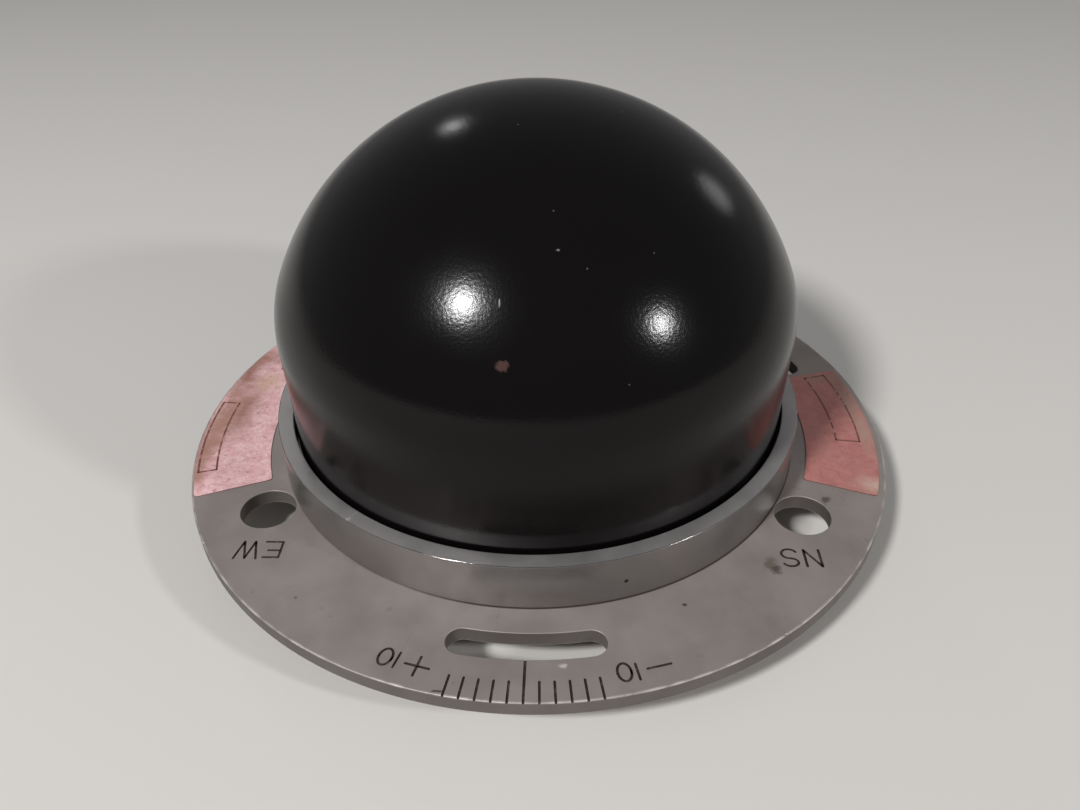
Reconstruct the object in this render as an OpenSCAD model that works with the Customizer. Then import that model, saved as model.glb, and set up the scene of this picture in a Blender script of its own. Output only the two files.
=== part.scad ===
// Remote compass transmitter: a domed, fluid-filled bowl on an indexed mounting flange,
// with a pendulous three-legged sensing element on a universal joint inside.
// Millimetres. It stands on its rear cover with the bowl up. The origin is the centre of the
// resting face, +Z runs up through the bowl and the zero mark of the index lies towards -Y.

/* [Flange] */
// Overall diameter of the mounting flange
flange_d = 120.65; // [117:0.05:128]
// Thickness of the flange plate
flange_t = 2.5; // [2.2:0.1:4]
// Chamfer round the flange rim
flange_chamfer = 0.3; // [0.1:0.05:0.6]
// Land between an index slot and the flange rim
slot_edge = 6.8; // [5.5:0.1:8]
// Width of an index slot
slot_w = 4.45; // [4:0.05:5]
// Index travel either way from the zero mark, in degrees
index_travel = 10; // [5:1:14]
// Diameter of an adjuster access hole
access_d = 8.85; // [6:0.05:9.4]
// Land between the clamp ring and an access hole
access_land = 0.2; // [0.05:0.05:1]

/* [Bowl] */
// Outside diameter of the bowl at its shoulder
bowl_d = 84; // [81:0.1:86]
// Height of the crown's centre above the flange face
bowl_rise = 15; // [13:0.5:18]
// Outside radius of the spherical crown
crown_r = 44; // [43.5:0.1:47]
// Outside radius of the soft shoulder between crown and skirt
shoulder_r = 20; // [10:0.5:26]
// How far the skirt draws in from the shoulder down to the lip
skirt_draft = 0.5; // [0.1:0.05:0.8]
// Wall of the bowl
bowl_wall = 2; // [1.6:0.1:2.4]
// Width of the lip outside the skirt
lip_w = 1.8; // [1.4:0.1:2.2]
// Thickness of the lip
lip_t = 2; // [1.5:0.1:2.4]

/* [Clamp ring] */
// Height of the clamp ring above the flange
ring_h = 8.2; // [7.4:0.1:9.5]
// Wall of the clamp ring outside its thread
ring_wall = 1.15; // [1:0.05:2]
// Thickness of the ring's inward lip
ring_lip_t = 2.2; // [1.6:0.1:2.6]
// Open gap between the bowl and the ring's lip
ring_gap = 0.6; // [0.3:0.05:0.9]
// Chamfer on the ring's top edges
ring_chamfer = 0.35; // [0.1:0.05:0.6]
// Radial clearance of the ring's thread
thread_gap = 0.1; // [0.05:0.05:0.2]
// Thickness of the seal under the bowl's lip
seal_t = 1; // [0.6:0.1:1.4]

/* [Rear cover] */
// Height of the flange's back above the resting face
rear_h = 6; // [5.9:0.1:9]
// How far the cover's side lies inside the clamp ring
rear_inset = 1.8; // [1.5:0.1:2.4]
// Thickness of the cover's floor
cover_t = 1.2; // [0.9:0.1:1.3]
// Thickness of the cover's side
cover_wall = 1.4; // [1:0.1:2]
// Outside corner radius of the cover
cover_corner_r = 1.1; // [0.5:0.1:1.3]
// Height of the turned step that the cover closes against
register_h = 0.8; // [0.5:0.1:1.2]
// Thickness of the cover's gasket
gasket_t = 0.6; // [0.4:0.1:1]
// Land between a cover screw's boss and the turned step
boss_land = 1.75; // [0.5:0.05:3]
// Diameter of a cover screw
cover_screw_d = 3; // [2.5:0.1:3.5]
// Land between the grommet's pocket and the cover's side
grommet_land = 0.35; // [0.2:0.05:0.8]
// Bore of the cable grommet
grommet_bore_d = 6.4; // [5:0.1:7.4]
// Depth of the pressed pocket round the grommet
pocket_depth = 1.6; // [1:0.1:1.8]

/* [Terminals] */
// Number of terminals
terminal_count = 6; // [4:1:7]
// Distance of the terminals from the block's edge
terminal_edge = 5; // [4.4:0.1:6]
// Room between the terminal block and the grommet's pocket
block_room = 0.5; // [0.1:0.1:2]
// Thickness of the terminal block
block_t = 2.5; // [2:0.1:2.6]
// Outside diameter of a feed-through stud
stud_d = 3.8; // [3.2:0.1:4.2]
// Wall of the moulded sleeve round a stud
sleeve_wall = 1.1; // [0.8:0.1:1.4]
// Diameter of a small screw
screw_d = 2.4; // [2:0.1:2.6]
// Room between the terminal block and the filler plug's head
filler_room = 3.9; // [0.5:0.1:5]
// Diameter of the filler plug's shank
filler_d = 5; // [4:0.1:6]

/* [Universal joint] */
// Height of the pivot above the flange face
pivot_rise = 14; // [13:0.5:15]
// Free swing either way in pitch and in roll, in degrees
swing = 25; // [15:1:27]
// Diameter of a pivot pin
pin_d = 2.4; // [2:0.1:2.8]
// Radial clearance of a pin in its bush
pin_gap = 0.03; // [0.02:0.01:0.08]
// Wall of a bush
bush_wall = 0.8; // [0.6:0.05:1]
// Width of the gimbal block
gimbal_w = 8; // [7:0.1:8.6]
// Height of the gimbal block
gimbal_h = 7; // [6:0.1:7.4]
// End play between the gimbal block and a bush
thrust_gap = 0.5; // [0.3:0.05:0.8]
// Space between the arms of a fork
fork_gap = 11.4; // [11:0.1:12.4]
// Thickness of a fork's arm
arm_t = 2.8; // [2.4:0.1:3]
// Width of a fork's arm
arm_w = 6; // [5.6:0.1:6.6]

/* [Sensing element] */
// Thickness of a core plate
core_t = 1; // [0.8:0.1:1.4]
// Space between the two core plates
core_gap = 7.5; // [6.5:0.1:8.5]
// Width of a core leg
leg_w = 7; // [6:0.1:8]
// Radial thickness of a collector horn
horn_t = 3; // [2:0.1:3.6]
// Angle that a collector horn spans, in degrees
horn_span = 100; // [80:1:110]
// Clear room left between the swung horns and the bowl
swing_room = 2; // [1.2:0.1:3]
// Diameter of the excitation core
centre_core_d = 7.2; // [6:0.1:8]
// Diameter of the excitation bobbin
excitation_d = 16; // [14:0.1:17]
// Wall of a bobbin
bobbin_wall = 0.8; // [0.6:0.1:1]
// Depth of winding on a leg
pickup_depth = 2; // [1.2:0.1:2.4]
// Length of a bobbin along its leg
pickup_len = 8; // [7:0.1:9]
// Height of the pendulum weight
weight_h = 8; // [5:0.5:9]
// Thickness of the pendulum fork's plate
carrier_t = 2; // [1.6:0.1:2.4]
// Diameter of a stack bolt
bolt_d = 1.8; // [1.4:0.1:2]

/* [Hidden] */
$fn = 96;

// Past a face, so that a cut goes clean through
past = 1;
// Radial room round a plain screw in its hole
screw_room = 0.05;
// Room round pieces that are set in place by hand
loose = 0.2;
slot_count = 3;
leg_count = 3;
cover_screw_count = 4;
block_screw_count = 3;
hanger_screw_count = 2;

// Levels of the case, from the resting face up
flange_z = rear_h;
face_z = flange_z + flange_t;
seal_z = face_z + ring_h - ring_lip_t - lip_t - seal_t;
lip_z = seal_z + seal_t;
crown_z = face_z + bowl_rise;
register_z = flange_z - register_h;
gasket_z = register_z - gasket_t;
block_gasket_z = flange_z - gasket_t;
block_z = block_gasket_z - block_t;
pivot_z = face_z + pivot_rise;

// Radii of the bowl, its ring and its spigot
flange_r = flange_d / 2;
shoulder_line_r = bowl_d / 2;
foot_r = shoulder_line_r - skirt_draft;
lip_r = foot_r + lip_w;
thread_r = lip_r + 2 * thread_gap;
spigot_r = thread_r - thread_gap;
spigot_bore_r = foot_r - bowl_wall;
ring_r = thread_r + ring_wall;
ring_bore_r = foot_r + ring_gap;
// Centre of the shoulder's arc, which touches the skirt and a crown that is wider than the skirt.
// Under a narrower crown it lies level with the crown's centre.
shoulder_x = shoulder_line_r - shoulder_r;
shoulder_z = crown_z + sqrt(max(0, pow(crown_r - shoulder_r, 2) - pow(shoulder_x, 2)));
// Narrowest room that the swinging element has inside the bowl
bowl_room_r = min(spigot_bore_r, crown_r - bowl_wall);

// Places on the flange
slot_r = flange_r - slot_edge - slot_w / 2;
access_r = ring_r + access_land + access_d / 2;
slot_step = 360 / slot_count;
// The plunged cutter leaves a slot's ends this much wider on each side than its run
slot_relief = 0.02;
// The zero mark of the index lies towards -Y
zero_angle = -90;

// Rear cover and grommet
rear_r = ring_r - rear_inset;
register_ledge = 1;
register_bore_r = rear_r - cover_wall - register_ledge;
cover_screw_angle = 45;
boss_wall = 1.7;
cover_boss_r = cover_screw_d / 2 + boss_wall;
cover_screw_pcr = register_bore_r - cover_boss_r - boss_land;
// A countersunk head is this many screw diameters across
cover_head_ratio = 1.8;
cover_head_r = cover_screw_d * cover_head_ratio / 2;
cover_head_h = cover_head_r - cover_screw_d / 2;
head_sink = 0.05;
grommet_wall = 1.6;
grommet_lip_w = 1.8;
grommet_sink = 0.3;
grommet_neck_r = grommet_bore_d / 2 + grommet_wall;
grommet_lip_r = grommet_neck_r + grommet_lip_w;
grommet_lip_t = pocket_depth - grommet_sink;
pocket_room = 0.5;
pocket_r = grommet_lip_r + pocket_room;
grommet_offset = rear_r - cover_wall - grommet_land - cover_t - pocket_r;

// Threaded holes stop short of the web's far side, which stays closed
web_skin = 0.5;
blind_depth = flange_t - web_skin;
screw_r = screw_d / 2;
screw_head_over = 0.9;
screw_head_r = screw_r + screw_head_over;
screw_head_h = 1.2;
screw_slot_w = 0.6;
screw_slot_depth = 0.5;
block_screw_pcr = 8.5;
block_screw_angle = 30;
hanger_post_r = 4.5;
hanger_head_room = 0.4;
hanger_screw_pcr = hanger_post_r + hanger_head_room + screw_head_r;
hanger_base_land = 0.8;
hanger_base_r = hanger_screw_pcr + screw_head_r + hanger_base_land;
hanger_base_t = 2;

// Terminals
block_r = grommet_offset - pocket_r - cover_t - block_room;
terminal_pcr = block_r - terminal_edge;
sleeve_r = stud_d / 2 + sleeve_wall;
sleeve_rise = 1;
turret_r = 1;
turret_cap_r = 1.5;
turret_h = 3;
turret_cap_h = 0.7;
rib_w = 1.4;
rib_h = 1;
rib_room = 2.4;
rib_start = block_screw_pcr + screw_head_r + rib_room;
// Closed end of a stud, above its tapped hole
stud_cap = 2;
filler_r = filler_d / 2;
filler_head_over = 1.6;
filler_head_r = filler_r + filler_head_over;
filler_offset = block_r + filler_room + filler_head_r;
filler_head_h = 2;

// Universal joint
pin_r = pin_d / 2;
pin_root = 1.4;
bush_bore_r = pin_r + pin_gap;
bush_r = bush_bore_r + bush_wall;
arm_in = fork_gap / 2;
arm_out = arm_in + arm_t;
arm_end_r = arm_w / 2;
bush_land = 0.2;
bush_flange_r = arm_end_r - bush_land;
bush_flange_t = arm_in - gimbal_w / 2 - thrust_gap;
fork_fillet_r = 1.6;
// Corners of the turning gimbal block stay clear of the fixed fork's saddle
hanger_saddle = norm([gimbal_w / 2, gimbal_h / 2]) + thrust_gap;
hanger_saddle_t = 3;
// Steepest lean, with pitch and roll both at their ends
full_lean = acos(cos(swing) * cos(swing));
arm_tip_reach = norm([arm_out, arm_end_r]);
arm_tip_angle = atan(arm_end_r / arm_out);
// Plate of the swinging fork stays clear of the fixed fork's tips
tip_room = 1.2;
carrier_rise = arm_tip_reach * sin(min(90, arm_tip_angle + full_lean)) + tip_room;

// Stack of the sensing element, measured up from the pivot
lower_core_rise = carrier_rise + carrier_t;
coil_rise = lower_core_rise + core_t;
upper_core_rise = coil_rise + core_gap;
weight_rise = upper_core_rise + core_t;
bolt_top_rise = weight_rise + weight_h;
horn_over = 1;
horn_rise = lower_core_rise - horn_over;
horn_h = core_gap + 2 * core_t + 2 * horn_over;
horn_top = horn_rise + horn_h;
horn_r = sqrt(pow(bowl_room_r - swing_room, 2) - pow(horn_top, 2));
horn_in_r = horn_r - horn_t;
// Legs are let into the horns by half their thickness
leg_end_r = horn_r - horn_t / 2;
leg_angle = 90;
bolt_r = bolt_d / 2;
bolt_head_over = 0.7;
bolt_head_r = bolt_r + bolt_head_over;
bolt_head_h = 1.2;
nut_h = 1.5;
nut_over = 0.95;
nut_r = bolt_r + nut_over;
excitation_r = excitation_d / 2;
bolt_room = 0.5;
bolt_pcr = excitation_r + bolt_room + bolt_r;
hub_land = 0.6;
hub_r = bolt_pcr + bolt_head_r + hub_land;
bolt_angle = leg_angle + 180 / leg_count;
centre_core_r = centre_core_d / 2;
bobbin_flange_t = 0.8;
winding_inset = 0.4;
pickup_room = 1.4;
pickup_start = hub_r + pickup_room;
pickup_mid_rise = (lower_core_rise + weight_rise) / 2;
window_w = leg_w + 2 * loose;
window_h = core_gap + 2 * core_t + 2 * loose;
bobbin_w = window_w + 2 * bobbin_wall;
bobbin_h = window_h + 2 * bobbin_wall;
pickup_corner_r = 1.2;
weight_edge = 0.4;

// Colours
aluminium_grey = "#9b9b98";
turned_grey = "#a9abad";
bowl_black = "#161415";
rubber_black = "#26241f";
bakelite_brown = "#4a2c1c";
brass_yellow = "#b8954f";
nickel_grey = "#8f8a80";
core_grey = "#6f7275";
copper_red = "#9c5a33";
nylon_cream = "#d8cfb4";

// Copies of the children round the Z axis, each at radius r and turned to face outwards
module around(count, r, start = 0) {
    for (i = [0 : count - 1])
        rotate([0, 0, start + i * 360 / count])
            translate([r, 0, 0])
                children();
}

// Screw along -Z with the underside of its slotted head at z = 0
module screw(shank_r, shank_l, head_r, head_h) {
    translate([0, 0, -shank_l])
        cylinder(r = shank_r, h = shank_l);
    difference() {
        cylinder(r = head_r, h = head_h);
        translate([-head_r - past, -screw_slot_w / 2, head_h - screw_slot_depth])
            cube([2 * (head_r + past), screw_slot_w, screw_slot_depth + past]);
    }
}

// Rectangle with round corners, centred
module round_rect(w, h, r) {
    square([w - 2 * r, h], center = true);
    square([w, h - 2 * r], center = true);
    for (x = [-1, 1], y = [-1, 1])
        translate([x * (w / 2 - r), y * (h / 2 - r)])
            circle(r = r);
}

// Curved run of an index slot, about the +X direction
module index_slot_run() {
    rotate([0, 0, -index_travel])
        rotate_extrude(angle = 2 * index_travel)
            translate([slot_r - slot_w / 2, flange_z - past])
                square([slot_w, flange_t + 2 * past]);
}

// Round end of an index slot, on the +X axis
module index_slot_end() {
    translate([slot_r, 0, flange_z - past])
        cylinder(r = slot_w / 2 + slot_relief, h = flange_t + 2 * past);
}

// Half section of the flange: plate, spigot for the bowl and the step for the rear cover
module flange_section() {
    polygon([
        [0, flange_z],
        [register_bore_r, flange_z],
        [register_bore_r, register_z],
        [rear_r, register_z],
        [rear_r, flange_z],
        [flange_r - flange_chamfer, flange_z],
        [flange_r, flange_z + flange_chamfer],
        [flange_r, face_z - flange_chamfer],
        [flange_r - flange_chamfer, face_z],
        [spigot_r, face_z],
        [spigot_r, seal_z],
        [spigot_bore_r, seal_z],
        [spigot_bore_r, face_z],
        [0, face_z]
    ]);
}

module mounting_flange() {
    color(aluminium_grey)
    difference() {
        rotate_extrude() flange_section();
        for (i = [0 : slot_count - 1])
            rotate([0, 0, zero_angle + i * slot_step])
                index_slot_run();
        for (i = [0 : slot_count - 1], side = [-1, 1])
            rotate([0, 0, zero_angle + i * slot_step + side * index_travel])
                index_slot_end();
        for (side = [-1, 1])
            rotate([0, 0, zero_angle + side * slot_step / 2])
                translate([access_r, 0, flange_z - past])
                    cylinder(d = access_d, h = flange_t + 2 * past);
        around(terminal_count, terminal_pcr)
            translate([0, 0, flange_z - past])
                cylinder(r = sleeve_r + screw_room, h = flange_t + 2 * past);
        translate([0, -filler_offset, flange_z - past])
            cylinder(r = filler_r + screw_room, h = flange_t + 2 * past);
        around(cover_screw_count, cover_screw_pcr, cover_screw_angle)
            translate([0, 0, flange_z - past])
                cylinder(r = cover_screw_d / 2 + screw_room, h = blind_depth + past);
        around(block_screw_count, block_screw_pcr, block_screw_angle)
            translate([0, 0, flange_z - past])
                cylinder(r = screw_r + screw_room, h = blind_depth + past);
        around(hanger_screw_count, hanger_screw_pcr)
            translate([0, 0, face_z - blind_depth])
                cylinder(r = screw_r + screw_room, h = blind_depth + past);
    }
}

// Half section of the bowl's filled shape, drawn in by inset all over
module bowl_section(inset, foot) {
    reach = crown_r * 2;
    lean = atan2(shoulder_x, shoulder_z - crown_z);
    intersection() {
        union() {
            polygon([
                [0, foot],
                [foot_r - inset, foot],
                [foot_r - inset, lip_z],
                [shoulder_line_r - inset, shoulder_z],
                [0, shoulder_z]
            ]);
            translate([shoulder_x, shoulder_z]) circle(r = shoulder_r - inset);
            intersection() {
                translate([0, crown_z]) circle(r = crown_r - inset);
                polygon([
                    [0, crown_z],
                    [reach * sin(lean), crown_z + reach * cos(lean)],
                    [0, crown_z + reach]
                ]);
            }
        }
        translate([0, foot]) square([reach, reach * 2]);
    }
}

module bowl() {
    color(bowl_black)
    rotate_extrude()
        difference() {
            union() {
                bowl_section(0, lip_z);
                translate([0, lip_z]) square([lip_r, lip_t]);
            }
            bowl_section(bowl_wall, lip_z - past);
        }
}

module bowl_seal() {
    color(rubber_black)
    translate([0, 0, seal_z])
        difference() {
            cylinder(r = lip_r, h = seal_t);
            translate([0, 0, -past]) cylinder(r = spigot_bore_r, h = seal_t + 2 * past);
        }
}

module clamp_ring() {
    color(turned_grey)
    rotate_extrude()
        polygon([
            [thread_r, face_z],
            [ring_r, face_z],
            [ring_r, face_z + ring_h - ring_chamfer],
            [ring_r - ring_chamfer, face_z + ring_h],
            [ring_bore_r + ring_chamfer, face_z + ring_h],
            [ring_bore_r, face_z + ring_h - ring_chamfer],
            [ring_bore_r, face_z + ring_h - ring_lip_t],
            [thread_r, face_z + ring_h - ring_lip_t]
        ]);
}

// Half section of the cover's pan, with its rounded outer corner
module cover_section() {
    difference() {
        union() {
            square([rear_r - cover_corner_r, gasket_z]);
            translate([0, cover_corner_r]) square([rear_r, gasket_z - cover_corner_r]);
            translate([rear_r - cover_corner_r, cover_corner_r]) circle(r = cover_corner_r);
        }
        translate([-past, cover_t]) square([rear_r - cover_wall + past, gasket_z]);
    }
}

module rear_cover() {
    color(turned_grey)
    difference() {
        union() {
            rotate_extrude() cover_section();
            around(cover_screw_count, cover_screw_pcr, cover_screw_angle)
                translate([0, 0, cover_t / 2])
                    cylinder(r = cover_boss_r, h = flange_z - cover_t / 2);
            translate([0, grommet_offset, 0])
                cylinder(r = pocket_r + cover_t, h = pocket_depth + cover_t);
        }
        around(cover_screw_count, cover_screw_pcr, cover_screw_angle) {
            translate([0, 0, -past])
                cylinder(r = cover_screw_d / 2 + screw_room, h = flange_z + 2 * past);
            cylinder(r1 = cover_head_r + head_sink, r2 = cover_screw_d / 2 + head_sink, h = cover_head_h);
            translate([0, 0, -past]) cylinder(r = cover_head_r + head_sink, h = past);
        }
        translate([0, grommet_offset, -past]) {
            cylinder(r = pocket_r, h = pocket_depth + past);
            cylinder(r = grommet_neck_r, h = pocket_depth + cover_t + 2 * past);
        }
    }
}

module rear_gasket() {
    color(rubber_black)
    translate([0, 0, gasket_z])
        difference() {
            cylinder(r = rear_r, h = gasket_t);
            translate([0, 0, -past]) cylinder(r = rear_r - cover_wall, h = gasket_t + 2 * past);
        }
}

module cover_screws() {
    color(nickel_grey)
    around(cover_screw_count, cover_screw_pcr, cover_screw_angle)
        difference() {
            translate([0, 0, head_sink]) {
                cylinder(r1 = cover_head_r, r2 = cover_screw_d / 2, h = cover_head_h);
                cylinder(d = cover_screw_d, h = flange_z + blind_depth - 2 * head_sink);
            }
            translate([-cover_head_r - past, -screw_slot_w / 2, head_sink - past])
                cube([2 * (cover_head_r + past), screw_slot_w, screw_slot_depth + past]);
        }
}

module cable_grommet() {
    color(rubber_black)
    translate([0, grommet_offset, pocket_depth])
        difference() {
            union() {
                translate([0, 0, -grommet_lip_t]) cylinder(r = grommet_lip_r, h = grommet_lip_t);
                cylinder(r = grommet_neck_r, h = cover_t);
                translate([0, 0, cover_t]) cylinder(r = grommet_lip_r, h = grommet_lip_t);
            }
            translate([0, 0, -pocket_depth - past])
                cylinder(d = grommet_bore_d, h = cover_t + 2 * (pocket_depth + past));
        }
}

module terminal_block() {
    color(bakelite_brown)
    difference() {
        union() {
            translate([0, 0, block_z]) cylinder(r = block_r, h = block_t);
            around(terminal_count, terminal_pcr)
                translate([0, 0, block_z])
                    cylinder(r = sleeve_r, h = face_z + sleeve_rise - block_z);
            // Barrier ribs between neighbouring terminals
            around(terminal_count, 0, 180 / terminal_count)
                translate([rib_start, -rib_w / 2, block_z - rib_h])
                    cube([block_r - rib_start - rib_w / 2, rib_w, rib_h + block_t / 2]);
        }
        around(terminal_count, terminal_pcr)
            translate([0, 0, block_z - past])
                cylinder(d = stud_d, h = face_z + sleeve_rise - block_z + 2 * past);
        around(block_screw_count, block_screw_pcr, block_screw_angle)
            translate([0, 0, block_z - past])
                cylinder(r = screw_r + screw_room, h = block_t + 2 * past);
    }
}

module terminal_gasket() {
    color(rubber_black)
    translate([0, 0, block_gasket_z])
        difference() {
            cylinder(r = block_r, h = gasket_t);
            around(terminal_count, terminal_pcr)
                translate([0, 0, -past])
                    cylinder(r = sleeve_r + screw_room, h = gasket_t + 2 * past);
            around(block_screw_count, block_screw_pcr, block_screw_angle)
                translate([0, 0, -past])
                    cylinder(r = screw_r + screw_room, h = gasket_t + 2 * past);
        }
}

module terminal_studs() {
    stud_h = face_z + sleeve_rise - block_z;
    tapped_h = stud_h - stud_cap;
    color(brass_yellow)
    around(terminal_count, terminal_pcr)
        translate([0, 0, block_z])
            difference() {
                union() {
                    cylinder(d = stud_d, h = stud_h);
                    translate([0, 0, stud_h]) cylinder(r = turret_r, h = turret_h);
                    translate([0, 0, stud_h + turret_h - turret_cap_h])
                        cylinder(r = turret_cap_r, h = turret_cap_h);
                }
                translate([0, 0, -past]) cylinder(r = screw_r + screw_room, h = tapped_h + past);
            }
}

module terminal_screws() {
    color(nickel_grey)
    around(terminal_count, terminal_pcr)
        translate([0, 0, block_z])
            mirror([0, 0, 1])
                screw(screw_r, block_t + gasket_t, screw_head_r, screw_head_h);
}

module block_screws() {
    color(nickel_grey)
    around(block_screw_count, block_screw_pcr, block_screw_angle)
        translate([0, 0, block_z])
            mirror([0, 0, 1])
                screw(screw_r, flange_z - block_z + blind_depth - screw_room, screw_head_r, screw_head_h);
}

module filler_plug() {
    color(nickel_grey)
    translate([0, -filler_offset, block_gasket_z])
        mirror([0, 0, 1])
            screw(filler_r, gasket_t + flange_t, filler_head_r, filler_head_h);
}

module filler_washer() {
    color(rubber_black)
    translate([0, -filler_offset, block_gasket_z])
        difference() {
            cylinder(r = filler_head_r, h = gasket_t);
            translate([0, 0, -past]) cylinder(r = filler_r + screw_room, h = gasket_t + 2 * past);
        }
}

// Fork with its pivot at the origin and its arms along Y. It opens towards +Z.
module fork(saddle, back) {
    depth = saddle + back;
    difference() {
        intersection() {
            rotate([90, 0, 90])
                translate([0, 0, -arm_w / 2])
                    linear_extrude(arm_w)
                        difference() {
                            translate([-arm_out, -depth]) square([2 * arm_out, depth + arm_end_r]);
                            translate([0, arm_w / 2])
                                round_rect(fork_gap, 2 * (saddle + arm_w / 2), fork_fillet_r);
                        }
            rotate([90, 0, 0])
                translate([0, 0, -arm_out])
                    linear_extrude(2 * arm_out) {
                        circle(r = arm_end_r);
                        translate([-arm_w / 2, -depth]) square([arm_w, depth]);
                    }
        }
        rotate([90, 0, 0])
            translate([0, 0, -arm_out - past])
                cylinder(r = bush_r, h = 2 * (arm_out + past));
    }
}

// Two flanged bushes on the Y axis, one in each arm of a fork
module fork_bushes() {
    for (side = [0, 180])
        rotate([-90, 0, side])
            translate([0, 0, arm_in - bush_flange_t])
                difference() {
                    union() {
                        cylinder(r = bush_flange_r, h = bush_flange_t);
                        cylinder(r = bush_r, h = bush_flange_t + arm_t);
                    }
                    translate([0, 0, -past])
                        cylinder(r = bush_bore_r, h = bush_flange_t + arm_t + 2 * past);
                }
}

// Two pins on the Y axis, pressed into opposite sides of the gimbal block
module block_pins() {
    for (side = [0, 180])
        rotate([-90, 0, side])
            translate([0, 0, pin_root])
                cylinder(r = pin_r, h = arm_out - pin_root);
}

module pivot_hanger() {
    fork_base = pivot_z - hanger_saddle - hanger_saddle_t;
    color(turned_grey) {
        translate([0, 0, pivot_z]) fork(hanger_saddle, hanger_saddle_t);
        difference() {
            union() {
                translate([0, 0, face_z]) cylinder(r = hanger_base_r, h = hanger_base_t);
                translate([0, 0, face_z])
                    cylinder(r = hanger_post_r, h = fork_base - face_z + hanger_saddle_t / 2);
            }
            around(hanger_screw_count, hanger_screw_pcr)
                translate([0, 0, face_z - past])
                    cylinder(r = screw_r + screw_room, h = hanger_base_t + 2 * past);
        }
    }
}

module hanger_screws() {
    color(nickel_grey)
    around(hanger_screw_count, hanger_screw_pcr)
        translate([0, 0, face_z + hanger_base_t])
            screw(screw_r, hanger_base_t + blind_depth - screw_room, screw_head_r, screw_head_h);
}

module hanger_bushes() {
    color(brass_yellow)
    translate([0, 0, pivot_z]) fork_bushes();
}

module gimbal_block() {
    color(nickel_grey)
    translate([0, 0, pivot_z])
        difference() {
            cube([gimbal_w, gimbal_w, gimbal_h], center = true);
            for (side = [0, 90, 180, 270])
                rotate([-90, 0, side])
                    translate([0, 0, pin_root]) cylinder(r = pin_r, h = gimbal_w);
        }
}

module roll_pins() {
    color(core_grey)
    translate([0, 0, pivot_z]) block_pins();
}

module pitch_pins() {
    color(core_grey)
    translate([0, 0, pivot_z]) rotate([0, 0, 90]) block_pins();
}

// Holes for the bolts that clamp the sensing element together
module bolt_holes(h) {
    around(leg_count, bolt_pcr, bolt_angle)
        translate([0, 0, -past]) cylinder(r = bolt_r + screw_room, h = h + 2 * past);
}

module pendulum_fork() {
    color(turned_grey)
    translate([0, 0, pivot_z]) {
        rotate([180, 0, 90]) fork(carrier_rise, carrier_t);
        translate([0, 0, carrier_rise])
            difference() {
                cylinder(r = hub_r, h = carrier_t);
                bolt_holes(carrier_t);
            }
    }
}

module pendulum_bushes() {
    color(brass_yellow)
    translate([0, 0, pivot_z]) rotate([0, 0, 90]) fork_bushes();
}

// Three-legged core plate, lying on z = 0
module core_plate() {
    difference() {
        linear_extrude(core_t)
            intersection() {
                union() {
                    circle(r = hub_r);
                    around(leg_count, 0, leg_angle)
                        translate([0, -leg_w / 2]) square([horn_r, leg_w]);
                }
                circle(r = leg_end_r);
            }
        bolt_holes(core_t);
    }
}

module lower_core() {
    color(core_grey)
    translate([0, 0, pivot_z + lower_core_rise]) core_plate();
}

module upper_core() {
    color(core_grey)
    translate([0, 0, pivot_z + upper_core_rise]) core_plate();
}

module centre_core() {
    color(core_grey)
    translate([0, 0, pivot_z + coil_rise]) cylinder(r = centre_core_r, h = core_gap);
}

module collector_horns() {
    reach = horn_r * 2;
    color(core_grey)
    translate([0, 0, pivot_z + horn_rise])
        around(leg_count, 0, leg_angle)
            difference() {
                linear_extrude(horn_h)
                    intersection() {
                        difference() {
                            circle(r = horn_r);
                            circle(r = horn_in_r);
                        }
                        polygon([
                            [0, 0],
                            [reach * cos(horn_span / 2), -reach * sin(horn_span / 2)],
                            [reach, 0],
                            [reach * cos(horn_span / 2), reach * sin(horn_span / 2)]
                        ]);
                    }
                // Pockets for the ends of the two legs
                for (z = [horn_over, horn_over + core_t + core_gap])
                    translate([0, 0, z])
                        intersection() {
                            translate([0, -leg_w / 2, 0]) cube([horn_r, leg_w, core_t]);
                            cylinder(r = leg_end_r, h = core_t);
                        }
            }
}

module excitation_bobbin() {
    color(nylon_cream)
    translate([0, 0, pivot_z + coil_rise])
        difference() {
            union() {
                cylinder(r = centre_core_r + bobbin_wall, h = core_gap);
                for (z = [0, core_gap - bobbin_flange_t])
                    translate([0, 0, z]) cylinder(r = excitation_r, h = bobbin_flange_t);
            }
            translate([0, 0, -past]) cylinder(r = centre_core_r, h = core_gap + 2 * past);
        }
}

module excitation_coil() {
    coil_h = core_gap - 2 * bobbin_flange_t;
    color(copper_red)
    translate([0, 0, pivot_z + coil_rise + bobbin_flange_t])
        difference() {
            cylinder(r = excitation_r - winding_inset, h = coil_h);
            translate([0, 0, -past])
                cylinder(r = centre_core_r + bobbin_wall, h = coil_h + 2 * past);
        }
}

// The children, drawn as seen along a leg, become a sleeve round each leg
module on_each_leg(start, len) {
    translate([0, 0, pivot_z + pickup_mid_rise])
        around(leg_count, start, leg_angle)
            rotate([90, 0, 90]) linear_extrude(len) children();
}

// Outline of a winding round a leg, grow being its depth over the bobbin's tube
module winding_2d(grow) {
    round_rect(bobbin_w + 2 * grow, bobbin_h + 2 * grow, pickup_corner_r + grow);
}

module pickup_bobbins() {
    color(nylon_cream)
    difference() {
        union() {
            on_each_leg(pickup_start, pickup_len) winding_2d(0);
            for (d = [0, pickup_len - bobbin_flange_t])
                on_each_leg(pickup_start + d, bobbin_flange_t) winding_2d(pickup_depth + winding_inset);
        }
        on_each_leg(pickup_start - past, pickup_len + 2 * past)
            square([window_w, window_h], center = true);
    }
}

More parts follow.
